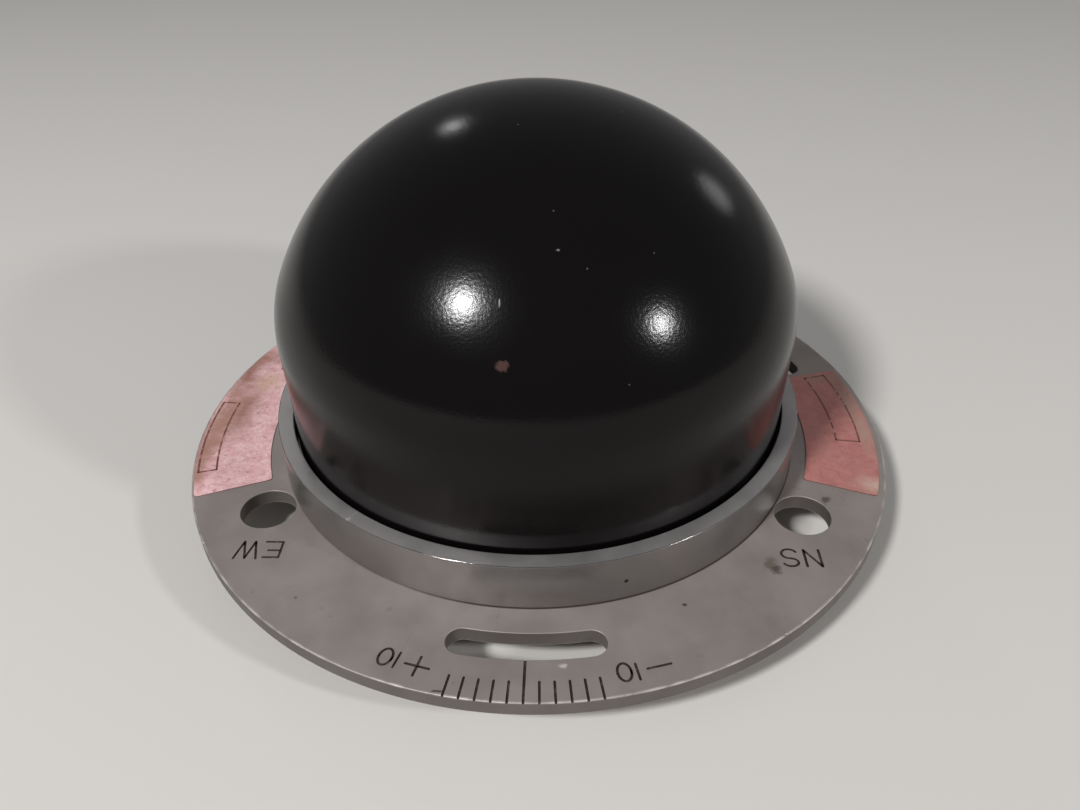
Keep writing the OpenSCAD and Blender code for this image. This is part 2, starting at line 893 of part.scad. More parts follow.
module pickup_coils() {
    color(copper_red)
    on_each_leg(pickup_start + bobbin_flange_t, pickup_len - 2 * bobbin_flange_t)
        difference() {
            winding_2d(pickup_depth);
            winding_2d(0);
        }
}

module pendulum_weight() {
    color(brass_yellow)
    translate([0, 0, pivot_z + weight_rise])
        difference() {
            rotate_extrude()
                polygon([
                    [0, 0],
                    [hub_r - weight_edge, 0],
                    [hub_r, weight_edge],
                    [hub_r, weight_h - weight_edge],
                    [hub_r - weight_edge, weight_h],
                    [0, weight_h]
                ]);
            bolt_holes(weight_h);
        }
}

module stack_bolts() {
    color(nickel_grey)
    translate([0, 0, pivot_z + carrier_rise])
        around(leg_count, bolt_pcr, bolt_angle)
            mirror([0, 0, 1])
                screw(bolt_r, bolt_top_rise - carrier_rise + nut_h, bolt_head_r, bolt_head_h);
}

module stack_nuts() {
    color(nickel_grey)
    translate([0, 0, pivot_z + bolt_top_rise])
        around(leg_count, bolt_pcr, bolt_angle)
            difference() {
                cylinder(r = nut_r, h = nut_h, $fn = 6);
                translate([0, 0, -past]) cylinder(r = bolt_r + screw_room, h = nut_h + 2 * past);
            }
}

mounting_flange();
bowl();
bowl_seal();
clamp_ring();
rear_cover();
rear_gasket();
cover_screws();
cable_grommet();
terminal_block();
terminal_gasket();
terminal_studs();
terminal_screws();
block_screws();
filler_plug();
filler_washer();
pivot_hanger();
hanger_screws();
hanger_bushes();
gimbal_block();
roll_pins();
pitch_pins();
pendulum_fork();
pendulum_bushes();
lower_core();
upper_core();
centre_core();
collector_horns();
excitation_bobbin();
excitation_coil();
pickup_bobbins();
pickup_coils();
pendulum_weight();
stack_bolts();
stack_nuts();
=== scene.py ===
import math

import bmesh
import bpy
from mathutils import Matrix, Vector


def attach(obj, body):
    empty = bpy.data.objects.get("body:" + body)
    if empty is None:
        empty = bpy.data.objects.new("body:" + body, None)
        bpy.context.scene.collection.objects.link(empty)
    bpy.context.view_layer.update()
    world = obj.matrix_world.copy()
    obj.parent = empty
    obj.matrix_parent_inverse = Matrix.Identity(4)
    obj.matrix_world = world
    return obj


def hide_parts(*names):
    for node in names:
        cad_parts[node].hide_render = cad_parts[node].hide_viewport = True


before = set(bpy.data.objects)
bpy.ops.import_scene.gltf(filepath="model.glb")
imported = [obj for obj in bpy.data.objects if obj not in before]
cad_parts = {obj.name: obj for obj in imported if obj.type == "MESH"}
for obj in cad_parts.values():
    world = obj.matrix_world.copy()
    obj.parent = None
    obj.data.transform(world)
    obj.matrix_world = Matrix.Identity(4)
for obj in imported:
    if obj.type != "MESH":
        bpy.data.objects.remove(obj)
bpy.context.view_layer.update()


# Mounting flange: a round aluminium casting, turned on both faces and blasted to a dull grey.
# Three curved slots index it on the aircraft's bracket, and two round holes pass an adjuster.
# The index scale and the adjusters' marks are engraved in its face and filled with black.
MM = 0.001
SEAT_Z, FACE_Z = 6.0, 8.5
FLANGE_R, FLANGE_EASE = 60.325, 0.22
SPIGOT_R, SPIGOT_BORE_R, SPIGOT_TOP = 43.4, 39.5, 11.5
STEP_R, STEP_BORE_R, STEP_Z, STEP_EASE = 42.85, 40.45, 5.2, 0.1
SLOT_R, SLOT_W, SLOT_TRAVEL = 51.3, 4.45, 10
SLOT_ANGLES = (0, 120, 240)
ACCESS_R, ACCESS_D = 49.275, 8.85
ACCESS_ANGLES = (-60, 60)
SCREW_PCR = 35.5
RING_R = 44.65
EDGE_BREAK = 0.06
# A cutting tool starts and ends this far outside the faces that it cuts
CLEAR, RUN_OUT = 0.1, 1


def colour(code):
    """An sRGB hex code as linear red, green, blue and alpha."""
    parts = [int(code[i:i + 2], 16) / 255 for i in (1, 3, 5)]
    return [c / 12.92 if c <= 0.04045 else ((c + 0.055) / 1.055) ** 2.4 for c in parts] + [1]


def per_mm(size):
    """Texture scale at which one feature of a pattern is this many millimetres across."""
    return 1 / (size * MM)


def feed(tree, node, links):
    """Link sources to a node's sockets, by name or number."""
    for key, source in links.items():
        tree.links.new(source, node.inputs[key])


def add(tree, kind, settings={}, links={}):
    """Add a node, fill its settings and sockets by name or number, and link its sockets."""
    node = tree.nodes.new(kind)
    for key, value in settings.items():
        if isinstance(key, str) and key in node.bl_rna.properties:
            setattr(node, key, value)
        else:
            node.inputs[key].default_value = value
    feed(tree, node, links)
    return node


def new_finish(name, settings):
    """A material, its node tree, its Principled shader and its Object coordinates."""
    finish = bpy.data.materials.new(name)
    finish.use_nodes = True
    tree = finish.node_tree
    shader = tree.nodes["Principled BSDF"]
    for key, value in settings.items():
        shader.inputs[key].default_value = value
    place = add(tree, "ShaderNodeTexCoord").outputs["Object"]
    return finish, tree, shader, place


def mottled(tree, place, size, dark, light, detail=4, rough=0.5):
    """Two tones in clouds of this many millimetres: the clouds and the mixed colour."""
    clouds = add(tree, "ShaderNodeTexNoise",
                 {"Scale": per_mm(size), "Detail": detail, "Roughness": rough}, {"Vector": place})
    tone = add(tree, "ShaderNodeMapRange", {"From Min": 0.35, "From Max": 0.65},
               {"Value": clouds.outputs["Fac"]})
    mixed = add(tree, "ShaderNodeMix",
                {"data_type": "RGBA", 6: colour(dark), 7: colour(light)},
                {0: tone.outputs["Result"]})
    return clouds.outputs["Fac"], mixed.outputs[2]


def off_axis(tree, place):
    """The distance from the part's axis."""
    flat = add(tree, "ShaderNodeVectorMath", {"operation": "MULTIPLY", 1: (1, 1, 0)}, {0: place})
    return add(tree, "ShaderNodeVectorMath", {"operation": "LENGTH"},
               {0: flat.outputs[0]}).outputs["Value"]


RAGGED = 2.2


def blemish(tree, place, ragged, middle, reach, soft=0.3):
    """A mask for a ragged patch about a point, with its half lengths along X, Y and Z."""
    away = add(tree, "ShaderNodeVectorMath", {
        "operation": "MULTIPLY_ADD", 1: [1 / (r * MM) for r in reach],
        2: [-m / r for m, r in zip(middle, reach)]}, {0: place})
    length = add(tree, "ShaderNodeVectorMath", {"operation": "LENGTH"}, {0: away.outputs[0]})
    torn = add(tree, "ShaderNodeMath", {"operation": "MULTIPLY_ADD", 1: RAGGED},
               {0: ragged, 2: length.outputs["Value"]})
    edge = 1 + RAGGED / 2
    return add(tree, "ShaderNodeMapRange", {"From Min": edge + soft, "From Max": edge - soft},
               {"Value": torn.outputs[0]}).outputs["Result"]


# Grime deepened by painted shade at the ring's foot: its colour, where it is thin and full along X
# (thinned at the left as painted light), and its least strength
GRIME_AND_SHADE, SEAM_SHADE_THIN_X, SEAM_SHADE_FULL_X, SEAM_SHADE_LEAST = "#2a2421", -20, -7, 0.12


def seam_grime_and_shade(tree, mask, along):
    """A mask for grime and painted shade at the ring's foot, thinned at the left by painted light.
    """
    thick = add(tree, "ShaderNodeMapRange", {
        "From Min": SEAM_SHADE_THIN_X * MM, "From Max": SEAM_SHADE_FULL_X * MM, "To Min": SEAM_SHADE_LEAST},
        {"Value": along})
    return add(tree, "ShaderNodeMath", {"operation": "MULTIPLY"},
               {0: mask, 1: thick.outputs["Result"]}).outputs[0]


# Blasted aluminium, dulled by age: a soft grey with faint clouds and a fine grit that spreads
# the light, a few small marks, grime against the clamp ring deepened by painted shade and thinned
# at the left by painted light, a rim edge painted brighter, partly wear and partly a painted
# highlight, and sides painted darker as painted shade. A tone fades over a band, given as its
# two distances in from an edge.
TOP_BAND, RIM_BAND, SEAM_BAND, SIDE_BAND = (0.32, 0.2), (0.36, 0.26), (0.22, 0.05), (0.2, 0.08)
SPOT_REACH_Z = 0.5
blasted_aluminium, tree, shader, place = new_finish("blasted_aluminium", {"Metallic": 0.5})
clouded = mottled(tree, place, 9, "#8c8480", "#9b928d")[1]
blots = add(tree, "ShaderNodeTexNoise", {"Scale": per_mm(2.6), "Detail": 3, "Roughness": 0.6},
            {"Vector": place})
blotted = add(tree, "ShaderNodeMapRange", {"From Min": 0.67, "From Max": 0.78, "To Max": 0.4},
              {"Value": blots.outputs["Fac"]})
tint = add(tree, "ShaderNodeMix", {"data_type": "RGBA", 7: colour("#5c5551")},
           {0: blotted.outputs["Result"], 6: clouded}).outputs[2]
ragged = add(tree, "ShaderNodeTexNoise", {"Scale": per_mm(0.8), "Detail": 3}, {"Vector": place})
# Small marks on the face: middle, half lengths and shade
for x, y, half_x, half_y, shade in (
        (35.75, -35.4, 0.85, 1.15, "#746b62"), (36.3, -36.5, 0.65, 0.75, "#5f564e"),
        (22.24, -43.59, 0.32, 0.3, "#3a3330"), (47.2, -21, 0.75, 0.65, "#645b55"),
        (5.05, -54.43, 0.45, 0.3, "#cdc8c3"), (-33.5, -43.2, 0.22, 0.18, "#655c57"),
        (12.4, 49.5, 0.5, 0.35, "#5e5650"), (-28, 45.1, 0.3, 0.6, "#655c57"),
        (-11.25, -58.68, 0.6, 0.16, "#4a413c")):
    patch = blemish(tree, place, ragged.outputs["Fac"], (x, y, FACE_Z),
                    (half_x, half_y, SPOT_REACH_Z), soft=0.5)
    tint = add(tree, "ShaderNodeMix", {"data_type": "RGBA", 7: colour(shade)},
               {0: patch, 6: tint}).outputs[2]
radius = off_axis(tree, place)
height = add(tree, "ShaderNodeSeparateXYZ", {}, {0: place})
upper = add(tree, "ShaderNodeMapRange", {
    "From Min": (FACE_Z - TOP_BAND[0]) * MM, "From Max": (FACE_Z - TOP_BAND[1]) * MM},
    {"Value": height.outputs["Z"]})
off_seam = add(tree, "ShaderNodeMath", {"operation": "SUBTRACT", 1: RING_R * MM}, {0: radius})
apart = add(tree, "ShaderNodeMath", {"operation": "ABSOLUTE"}, {0: off_seam.outputs[0]})
seam = add(tree, "ShaderNodeMapRange", {
    "From Min": SEAM_BAND[0] * MM, "From Max": SEAM_BAND[1] * MM, "To Max": 0.8},
    {"Value": apart.outputs[0]})
# The dark joint against the ring is grime deepened by painted shade, thinned at the left by painted
# light
grime_and_shade = add(tree, "ShaderNodeMath", {"operation": "MULTIPLY"},
            {0: seam_grime_and_shade(tree, seam.outputs["Result"], height.outputs["X"]),
             1: upper.outputs["Result"]})
tint = add(tree, "ShaderNodeMix", {"data_type": "RGBA", 7: colour(GRIME_AND_SHADE)},
           {0: grime_and_shade.outputs[0], 6: tint}).outputs[2]
# The rim's top edge is painted brighter: partly wear, partly a painted highlight
rim = add(tree, "ShaderNodeMapRange", {
    "From Min": (FLANGE_R - RIM_BAND[0]) * MM, "From Max": (FLANGE_R - RIM_BAND[1]) * MM},
    {"Value": radius})
edge = add(tree, "ShaderNodeMath", {"operation": "MULTIPLY"},
           {0: rim.outputs["Result"], 1: upper.outputs["Result"]})
scuffs = add(tree, "ShaderNodeTexNoise", {"Scale": per_mm(3), "Detail": 3}, {"Vector": place})
scuffed = add(tree, "ShaderNodeMapRange", {"From Min": 0.4, "From Max": 0.6},
              {"Value": scuffs.outputs["Fac"]})
worn_and_highlit = add(tree, "ShaderNodeMath", {"operation": "MULTIPLY"},
           {0: edge.outputs[0], 1: scuffed.outputs["Result"]})
rubbed_and_highlit = add(tree, "ShaderNodeMix", {"data_type": "RGBA", 7: colour("#b8b1ac")},
             {0: worn_and_highlit.outputs[0], 6: tint})
# The rim's side and the walls of the openings are painted darker than the two faces, as painted
# shade
off_middle = add(tree, "ShaderNodeMath",
                 {"operation": "SUBTRACT", 1: (SEAT_Z + FACE_Z) / 2 * MM}, {0: height.outputs["Z"]})
outward = add(tree, "ShaderNodeMath", {"operation": "ABSOLUTE"}, {0: off_middle.outputs[0]})
side = add(tree, "ShaderNodeMapRange", {
    "From Min": ((FACE_Z - SEAT_Z) / 2 - SIDE_BAND[0]) * MM,
    "From Max": ((FACE_Z - SEAT_Z) / 2 - SIDE_BAND[1]) * MM, "To Min": 0.5},
    {"Value": outward.outputs[0]})
shaded_sides_tint = add(tree, "ShaderNodeMix", {"data_type": "RGBA", "blend_type": "MULTIPLY", 0: 1},
             {6: rubbed_and_highlit.outputs[2], 7: side.outputs["Result"]})
dullness = add(tree, "ShaderNodeMapRange", {"To Min": 0.48, "To Max": 0.64},
               {"Value": blots.outputs["Fac"]})
# Blasting grit is about 0.1 mm, and is drawn at 0.3 mm so that it shows
GRIT_MM, GRIT_DEPTH = 0.3, 0.03
grit = add(tree, "ShaderNodeTexNoise", {"Scale": per_mm(GRIT_MM), "Detail": 2}, {"Vector": place})
grain = add(tree, "ShaderNodeBump", {"Strength": 0.3, "Distance": GRIT_DEPTH * MM},
            {"Height": grit.outputs["Fac"]})
feed(tree, shader, {"Base Color": shaded_sides_tint.outputs[2], "Roughness": dullness.outputs["Result"],
                    "Normal": grain.outputs["Normal"]})

# Engraver's black filling: a matt brown-black, thin and greyer where it has worn.
engraving_black, tree, shader, place = new_finish("engraving_black", {"Roughness": 0.62})
thin = add(tree, "ShaderNodeTexNoise", {"Scale": per_mm(0.8), "Detail": 3}, {"Vector": place})
thinned = add(tree, "ShaderNodeMapRange", {"From Min": 0.5, "From Max": 0.75},
              {"Value": thin.outputs["Fac"]})
filling = add(tree, "ShaderNodeMix",
              {"data_type": "RGBA", 6: colour("#2a1f1b"), 7: colour("#54463f")},
              {0: thinned.outputs["Result"]})
feed(tree, shader, {"Base Color": filling.outputs[2]})


def eased(corners, steps=5):
    """The outline through corners (x, y, ease), each rounded over its ease."""
    points = []
    for i, (x, y, ease) in enumerate(corners):
        corner = Vector((x, y))
        if not ease:
            points.append(corner)
            continue
        start = corner + (Vector(corners[i - 1][:2]) - corner).normalized() * ease
        end = corner + (Vector(corners[(i + 1) % len(corners)][:2]) - corner).normalized() * ease
        for k in range(steps + 1):
            t = k / steps
            points.append(start.lerp(corner, t).lerp(corner.lerp(end, t), t))
    return points


# Corners sharper than this stay crisp, and points closer than this are one
SHARP_ANGLE, SAME_POINT = 30, 1e-7


def settle(piece):
    """Make the modifiers' result the piece's plain mesh: closed, facing out and smooth."""
    bpy.context.view_layer.update()
    seen = piece.evaluated_get(bpy.context.evaluated_depsgraph_get())
    made = bpy.data.meshes.new_from_object(seen)
    piece.modifiers.clear()
    piece.data = made
    work = bmesh.new()
    work.from_mesh(made)
    bmesh.ops.remove_doubles(work, verts=work.verts, dist=SAME_POINT)
    bmesh.ops.recalc_face_normals(work, faces=work.faces)
    work.to_mesh(made)
    work.free()
    made.name = piece.name
    made.shade_smooth()
    made.set_sharp_from_angle(angle=math.radians(SHARP_ANGLE))
    return piece


def tree_with(name, sockets):
    """A Geometry Nodes tree with these named inputs, and the identifiers of its inputs."""
    made = bpy.data.node_groups.new(name, "GeometryNodeTree")
    made.is_modifier = True
    for label, kind in sockets:
        made.interface.new_socket(label, in_out="INPUT", socket_type=kind)
    made.interface.new_socket("Piece", in_out="OUTPUT", socket_type="NodeSocketGeometry")
    names = {s.name: s.identifier for s in made.interface.items_tree if s.in_out == "INPUT"}
    return made, names


# A half section is swept round the axis, as a lathe turns a piece
lathe, lathe_names = tree_with("turned_on_a_lathe", (
    ("Section", "NodeSocketGeometry"), ("Path radius", "NodeSocketFloat"),
    ("Steps round", "NodeSocketInt"), ("Finish", "NodeSocketMaterial")))
given = add(lathe, "NodeGroupInput").outputs
section = add(lathe, "GeometryNodeMeshToCurve", {}, {"Mesh": given["Section"]})
path = add(lathe, "GeometryNodeCurvePrimitiveCircle", {},
           {"Resolution": given["Steps round"], "Radius": given["Path radius"]})
upright = add(lathe, "GeometryNodeSetCurveNormal", {"mode": "Z_UP"},
              {"Curve": path.outputs["Curve"]})
swept = add(lathe, "GeometryNodeCurveToMesh", {},
            {"Curve": upright.outputs["Curve"], "Profile Curve": section.outputs["Curve"]})
joined = add(lathe, "GeometryNodeMergeByDistance", {"Distance": SAME_POINT},
             {"Geometry": swept.outputs["Mesh"]})
real = add(lathe, "GeometryNodeRealizeInstances", {}, {"Geometry": joined.outputs["Geometry"]})
dressed = add(lathe, "GeometryNodeSetMaterial", {},
              {"Geometry": real.outputs["Geometry"], "Material": given["Finish"]})
add(lathe, "NodeGroupOutput", {}, {"Piece": dressed.outputs["Geometry"]})
PATH_R = 20


def turned(name, outline, finish, steps):
    """A piece turned about Z from its half section (r, z) in millimetres."""
    count = len(outline)
    open_at_axis = outline[0][0] == 0 and outline[-1][0] == 0
    edges = [(i, (i + 1) % count) for i in range(count - open_at_axis)]
    mesh = bpy.data.meshes.new(name)
    mesh.from_pydata([((r - PATH_R) * MM, -z * MM, 0) for r, z in outline], edges, [])
    piece = bpy.data.objects.new(name, mesh)
    bpy.context.scene.collection.objects.link(piece)
    tool = piece.modifiers.new("lathe", "NODES")
    tool.node_group = lathe
    for label, value in (
            ("Path radius", PATH_R * MM), ("Steps round", steps), ("Finish", finish)):
        tool[lathe_names[label]] = value
    return settle(piece)


def lofted(name, bodies, finishes):
    """Closed solids in one mesh, each a number of its finish and its levels (z, outline)."""
    verts, faces, marks = [], [], []
    for mark, levels in bodies:
        start, count = len(verts), len(levels[0][1])
        for z, outline in levels:
            verts += [(x * MM, y * MM, z * MM) for x, y in outline]
        for k in range(len(levels) - 1):
            low, high = start + k * count, start + (k + 1) * count
            for i in range(count):
                j = (i + 1) % count
                faces.append((low + i, low + j, high + j, high + i))
        faces.append(tuple(range(start + count - 1, start - 1, -1)))
        faces.append(tuple(range(len(verts) - count, len(verts))))
        marks += [mark] * (len(faces) - len(marks))
    mesh = bpy.data.meshes.new(name)
    mesh.from_pydata(verts, [], faces)
    mesh.polygons.foreach_set("material_index", marks)
    for finish in finishes:
        mesh.materials.append(finish)
    piece = bpy.data.objects.new(name, mesh)
    bpy.context.scene.collection.objects.link(piece)
    return settle(piece)


def polar(r, angle):
    """The point at radius r and at this many degrees from the zero mark, towards +X."""
    turn = math.radians(angle)
    return Vector((r * math.sin(turn), -r * math.cos(turn)))


def ring_of(centre, r, steps=64):
    """A circle's outline."""
    return [centre + polar(r, -360 * i / steps) for i in range(steps)]


def ribbon(points, half, cap_steps=8):
    """The outline of a stroke of this half width along points, with round ends."""
    points = [Vector(p) for p in points]
    sides = []
    for i in range(len(points)):
        run = points[min(i + 1, len(points) - 1)] - points[max(i - 1, 0)]
        sides.append(Vector((-run.y, run.x)).normalized() * half)
    turns = [Matrix.Rotation(math.pi * k / cap_steps, 2) for k in range(1, cap_steps)]
    outline = [p - s for p, s in zip(points, sides)]
    outline += [points[-1] - turn @ sides[-1] for turn in turns]
    outline += [p + s for p, s in zip(reversed(points), reversed(sides))]
    outline += [points[0] + turn @ sides[0] for turn in turns]
    return outline


def slot_outline(middle, grow, steps=24, cap_steps=20):
    """The outline of an index slot whose middle is at this angle, grown all round."""
    angles = [middle + SLOT_TRAVEL * (2 * i / steps - 1) for i in range(steps + 1)]
    return ribbon([polar(SLOT_R, a) for a in angles], SLOT_W / 2 + grow, cap_steps)


def cut(piece, tool, operation="DIFFERENCE", crossing=False):
    """Cut a tool out of a piece, or add it, with the tool's finish on the new faces."""
    saw = piece.modifiers.new("cut", "BOOLEAN")
    saw.object, saw.operation = tool, operation
    saw.solver, saw.use_self, saw.material_mode = "EXACT", crossing, "TRANSFER"
    settle(piece)
    bpy.data.objects.remove(tool)


flange = turned("flange_casting", eased((
    (0, SEAT_Z, 0), (STEP_BORE_R, SEAT_Z, 0), (STEP_BORE_R, STEP_Z, 0), (STEP_R, STEP_Z, STEP_EASE),
    (STEP_R, SEAT_Z, 0), (FLANGE_R, SEAT_Z, FLANGE_EASE), (FLANGE_R, FACE_Z, FLANGE_EASE),
    (SPIGOT_R, FACE_Z, 0), (SPIGOT_R, SPIGOT_TOP, 0), (SPIGOT_BORE_R, SPIGOT_TOP, 0),
    (SPIGOT_BORE_R, FACE_Z, 0), (0, FACE_Z, 0))), blasted_aluminium, steps=480)

# Openings flare a little at both faces, where the edges were broken by hand
through = ((SEAT_Z - RUN_OUT, EDGE_BREAK + RUN_OUT), (SEAT_Z + EDGE_BREAK, 0),
           (FACE_Z - EDGE_BREAK, 0), (FACE_Z + RUN_OUT, EDGE_BREAK + RUN_OUT))
openings = [(0, [(z, slot_outline(a, grow)) for z, grow in through]) for a in SLOT_ANGLES]
openings += [(0, [(z, ring_of(polar(ACCESS_R, a), ACCESS_D / 2 + grow)) for z, grow in through])
             for a in ACCESS_ANGLES]
# Holes that the bowl and the rear cover hide: feed-throughs, filler plug, and screws that stop
# short of the far face. Circle's radius, first angle, count, hole's radius, lower and upper end.
BLIND, HOLE_STEPS = 0.5, 32
for r, first, count, hole_r, low, high in (
        (19, 90, 6, 3.05, SEAT_Z - RUN_OUT, FACE_Z + RUN_OUT),
        (32, 0, 1, 2.55, SEAT_Z - RUN_OUT, FACE_Z + RUN_OUT),
        (SCREW_PCR, 45, 4, 1.55, SEAT_Z - RUN_OUT, FACE_Z - BLIND),
        (8.5, 0, 3, 1.25, SEAT_Z - RUN_OUT, FACE_Z - BLIND),
        (7, 90, 2, 1.25, SEAT_Z + BLIND, FACE_Z + RUN_OUT)):
    for i in range(count):
        outline = ring_of(polar(r, first + i * 360 / count), hole_r, HOLE_STEPS)
        openings.append((0, [(low, outline), (high, outline)]))
# Small knocks in the rim: angle from the zero mark, depth, half length and height
KNOCK_OUT = 0.5
KNOCK_SHAPE = ((1.6, 0), (0.5, 0.9), (0, 1), (-0.4, 0.95), (-1.5, 0))
for angle, depth, half, z in (
        (-57.2, 0.3, 0.7, 8.6), (-62.6, 0.22, 0.45, 8.5), (36.2, 0.34, 0.6, 8.6),
        (-31, 0.16, 0.5, 8.5), (58.5, 0.2, 0.4, 8.5), (141, 0.28, 0.6, 8.6),
        (-151, 0.25, 0.5, 8.5), (12.4, 0.14, 0.35, 8.5), (101, 0.2, 0.5, 6.1)):
    middle, along = polar(FLANGE_R + KNOCK_OUT, angle), polar(1, angle + 90)
    knock = [middle + along * half * x - polar(1, angle) * (KNOCK_OUT + depth) * y
             for x, y in KNOCK_SHAPE]
    small = [middle + (p - middle) * 0.5 for p in knock]
    openings.append((0, [(z - 0.45, small), (z - 0.1, knock), (z + 0.1, knock), (z + 0.4, small)]))
cut(flange, lofted("openings", openings, [blasted_aluminium]))

# The same shape is set out at even steps round the axis
round_axis, round_names = tree_with("set_out_round_the_axis", (
    ("Shape", "NodeSocketGeometry"), ("Count", "NodeSocketInt"),
    ("First angle", "NodeSocketFloat"), ("Step", "NodeSocketFloat"),
    ("Finish", "NodeSocketMaterial")))
given = add(round_axis, "NodeGroupInput").outputs
spots = add(round_axis, "GeometryNodePoints", {}, {"Count": given["Count"]})
number = add(round_axis, "GeometryNodeInputIndex")
gone = add(round_axis, "ShaderNodeMath", {"operation": "MULTIPLY_ADD"},
           {0: number.outputs[0], 1: given["Step"], 2: given["First angle"]})
spin = add(round_axis, "ShaderNodeCombineXYZ", {}, {"Z": gone.outputs[0]})
facing = add(round_axis, "FunctionNodeEulerToRotation", {}, {0: spin.outputs[0]})
copies = add(round_axis, "GeometryNodeInstanceOnPoints", {},
             {"Points": spots.outputs[0], "Instance": given["Shape"],
              "Rotation": facing.outputs[0]})
real = add(round_axis, "GeometryNodeRealizeInstances", {},
           {"Geometry": copies.outputs["Instances"]})
dressed = add(round_axis, "GeometryNodeSetMaterial", {},
              {"Geometry": real.outputs["Geometry"], "Material": given["Finish"]})
add(round_axis, "NodeGroupOutput", {}, {"Piece": dressed.outputs["Geometry"]})


def set_out(piece, count, first, step, finish):
    """Copy a piece round the axis, with angles in degrees."""
    tool = piece.modifiers.new("set_out", "NODES")
    tool.node_group = round_axis
    for label, value in (("Count", count), ("First angle", math.radians(first)),
                         ("Step", math.radians(step)), ("Finish", finish)):
        tool[round_names[label]] = value
    return settle(piece)


# Index scale: eleven marks two degrees apart, cut in from the rim, the zero mark longer
MARK_HALF, MARK_DEPTH, MARK_FLOOR, MARK_MOUTH = 0.19, 0.17, 0.75, 1.05
MARK_COUNT, MARK_STEP, MARK_START = 11, 2, 57.05
ZERO_START, ZERO_OVERLAP, ZERO_WIDER, ZERO_DEEPER = 53.65, 0.6, 1.1, 0.02


def groove(points, half, depth=MARK_DEPTH):
    """The levels of an engraved stroke, narrower at its floor."""
    return [(FACE_Z - depth, ribbon(points, half * MARK_FLOOR)),
            (FACE_Z + CLEAR, ribbon(points, half * MARK_MOUTH))]


mark = lofted("mark", [(0, groove([(0, -MARK_START), (0, -FLANGE_R - RUN_OUT)], MARK_HALF))],
              [engraving_black])
cut(flange, set_out(mark, MARK_COUNT, -MARK_STEP * (MARK_COUNT // 2), MARK_STEP, engraving_black))

# Lettering, as single strokes in a box one unit wide and high, cut with its top outwards
bend = [math.radians(a) for a in range(0, 361, 12)]
tail = [math.radians(90 - a) for a in range(6, 247, 12)]
glyphs = {
    "+": [[(-0.5, 0), (0.5, 0)], [(0, -0.5), (0, 0.5)]],
    "-": [[(-0.5, 0), (0.5, 0)]],
    "1": [[(0, -0.5), (0, 0.5)]],
    "0": [[(0.5 * math.cos(a), 0.5 * math.sin(a)) for a in part]
          for part in (bend[:17], bend[14:])],
    "E": [[(-0.5, -0.5), (-0.5, 0.5)], [(-0.5, 0.5), (0.42, 0.5)],
          [(-0.5, 0.05), (0.22, 0.05)], [(-0.5, -0.5), (0.5, -0.5)]],
    "W": [[(-0.5, 0.5), (-0.24, -0.5)], [(-0.24, -0.5), (0, 0.48)],
          [(0, 0.48), (0.26, -0.5)], [(0.26, -0.5), (0.5, 0.5)]],
    "N": [[(-0.5, -0.5), (-0.5, 0.5)], [(-0.5, 0.5), (0.5, -0.5)], [(0.5, -0.5), (0.5, 0.5)]],
    "S": [[(0.5 * math.cos(a), 0.26 + 0.24 * math.sin(a)) for a in bend[2:23]]
          + [(0.5 * math.cos(a), -0.26 + 0.28 * math.sin(a)) for a in tail]],
}
# Glyph, place of its middle, width, height, half stroke and turn, in millimetres and degrees
lettering = (
    ("E", -39.54, -33.69, 2.6, 3.25, 0.2, 0), ("W", -43.35, -33.82, 3.45, 3.6, 0.2, 0),
    ("N", 42.26, -34.07, 2.25, 3.38, 0.22, 0), ("S", 38.86, -34.1, 2.27, 3.35, 0.21, 0),
    ("+", -14.35, -54.82, 3.4, 3.1, 0.2, -15), ("1", -17.2, -53.85, 1, 2.5, 0.18, -18),
    ("0", -18.8, -53.35, 1.85, 2.75, 0.2, -20), ("-", 17.8, -54.17, 3.3, 1, 0.19, 16),
    ("1", 14.9, -55.1, 1, 2.55, 0.19, 13), ("0", 13.15, -55.25, 1.85, 2.85, 0.2, 12))
strokes = [(0, groove([(0, -ZERO_START), (0, -MARK_START - ZERO_OVERLAP)], MARK_HALF * ZERO_WIDER,
                      MARK_DEPTH + ZERO_DEEPER))]
for letter, x, y, w, h, half, lean in lettering:
    turn = Matrix.Rotation(math.radians(180 + lean), 2)
    for stroke in glyphs[letter]:
        points = [Vector((x, y)) + turn @ Vector((a * w, b * h)) for a, b in stroke]
        strokes.append((0, groove(points, half)))
cut(flange, lofted("lettering", strokes, [engraving_black]), crossing=True)
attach(flange, "case")
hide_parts("mounting_flange")


# Labels: two pink paper labels gummed to the flange, curved to follow it and cut with round
# corners. Each carries a thin printed frame. Damp has browned the paper.
LABEL_T, LABEL_EASE, LABEL_STEPS, LABEL_END_STEPS = 0.15, 0.7, 40, 4
FRAME_HALF, FRAME_T, FRAME_SUNK, FRAME_STEPS = 0.17, 0.012, 0.01, 24
CUT_EDGE_BAND, STAIN_REACH_Z = (0.01, 0.03), 2


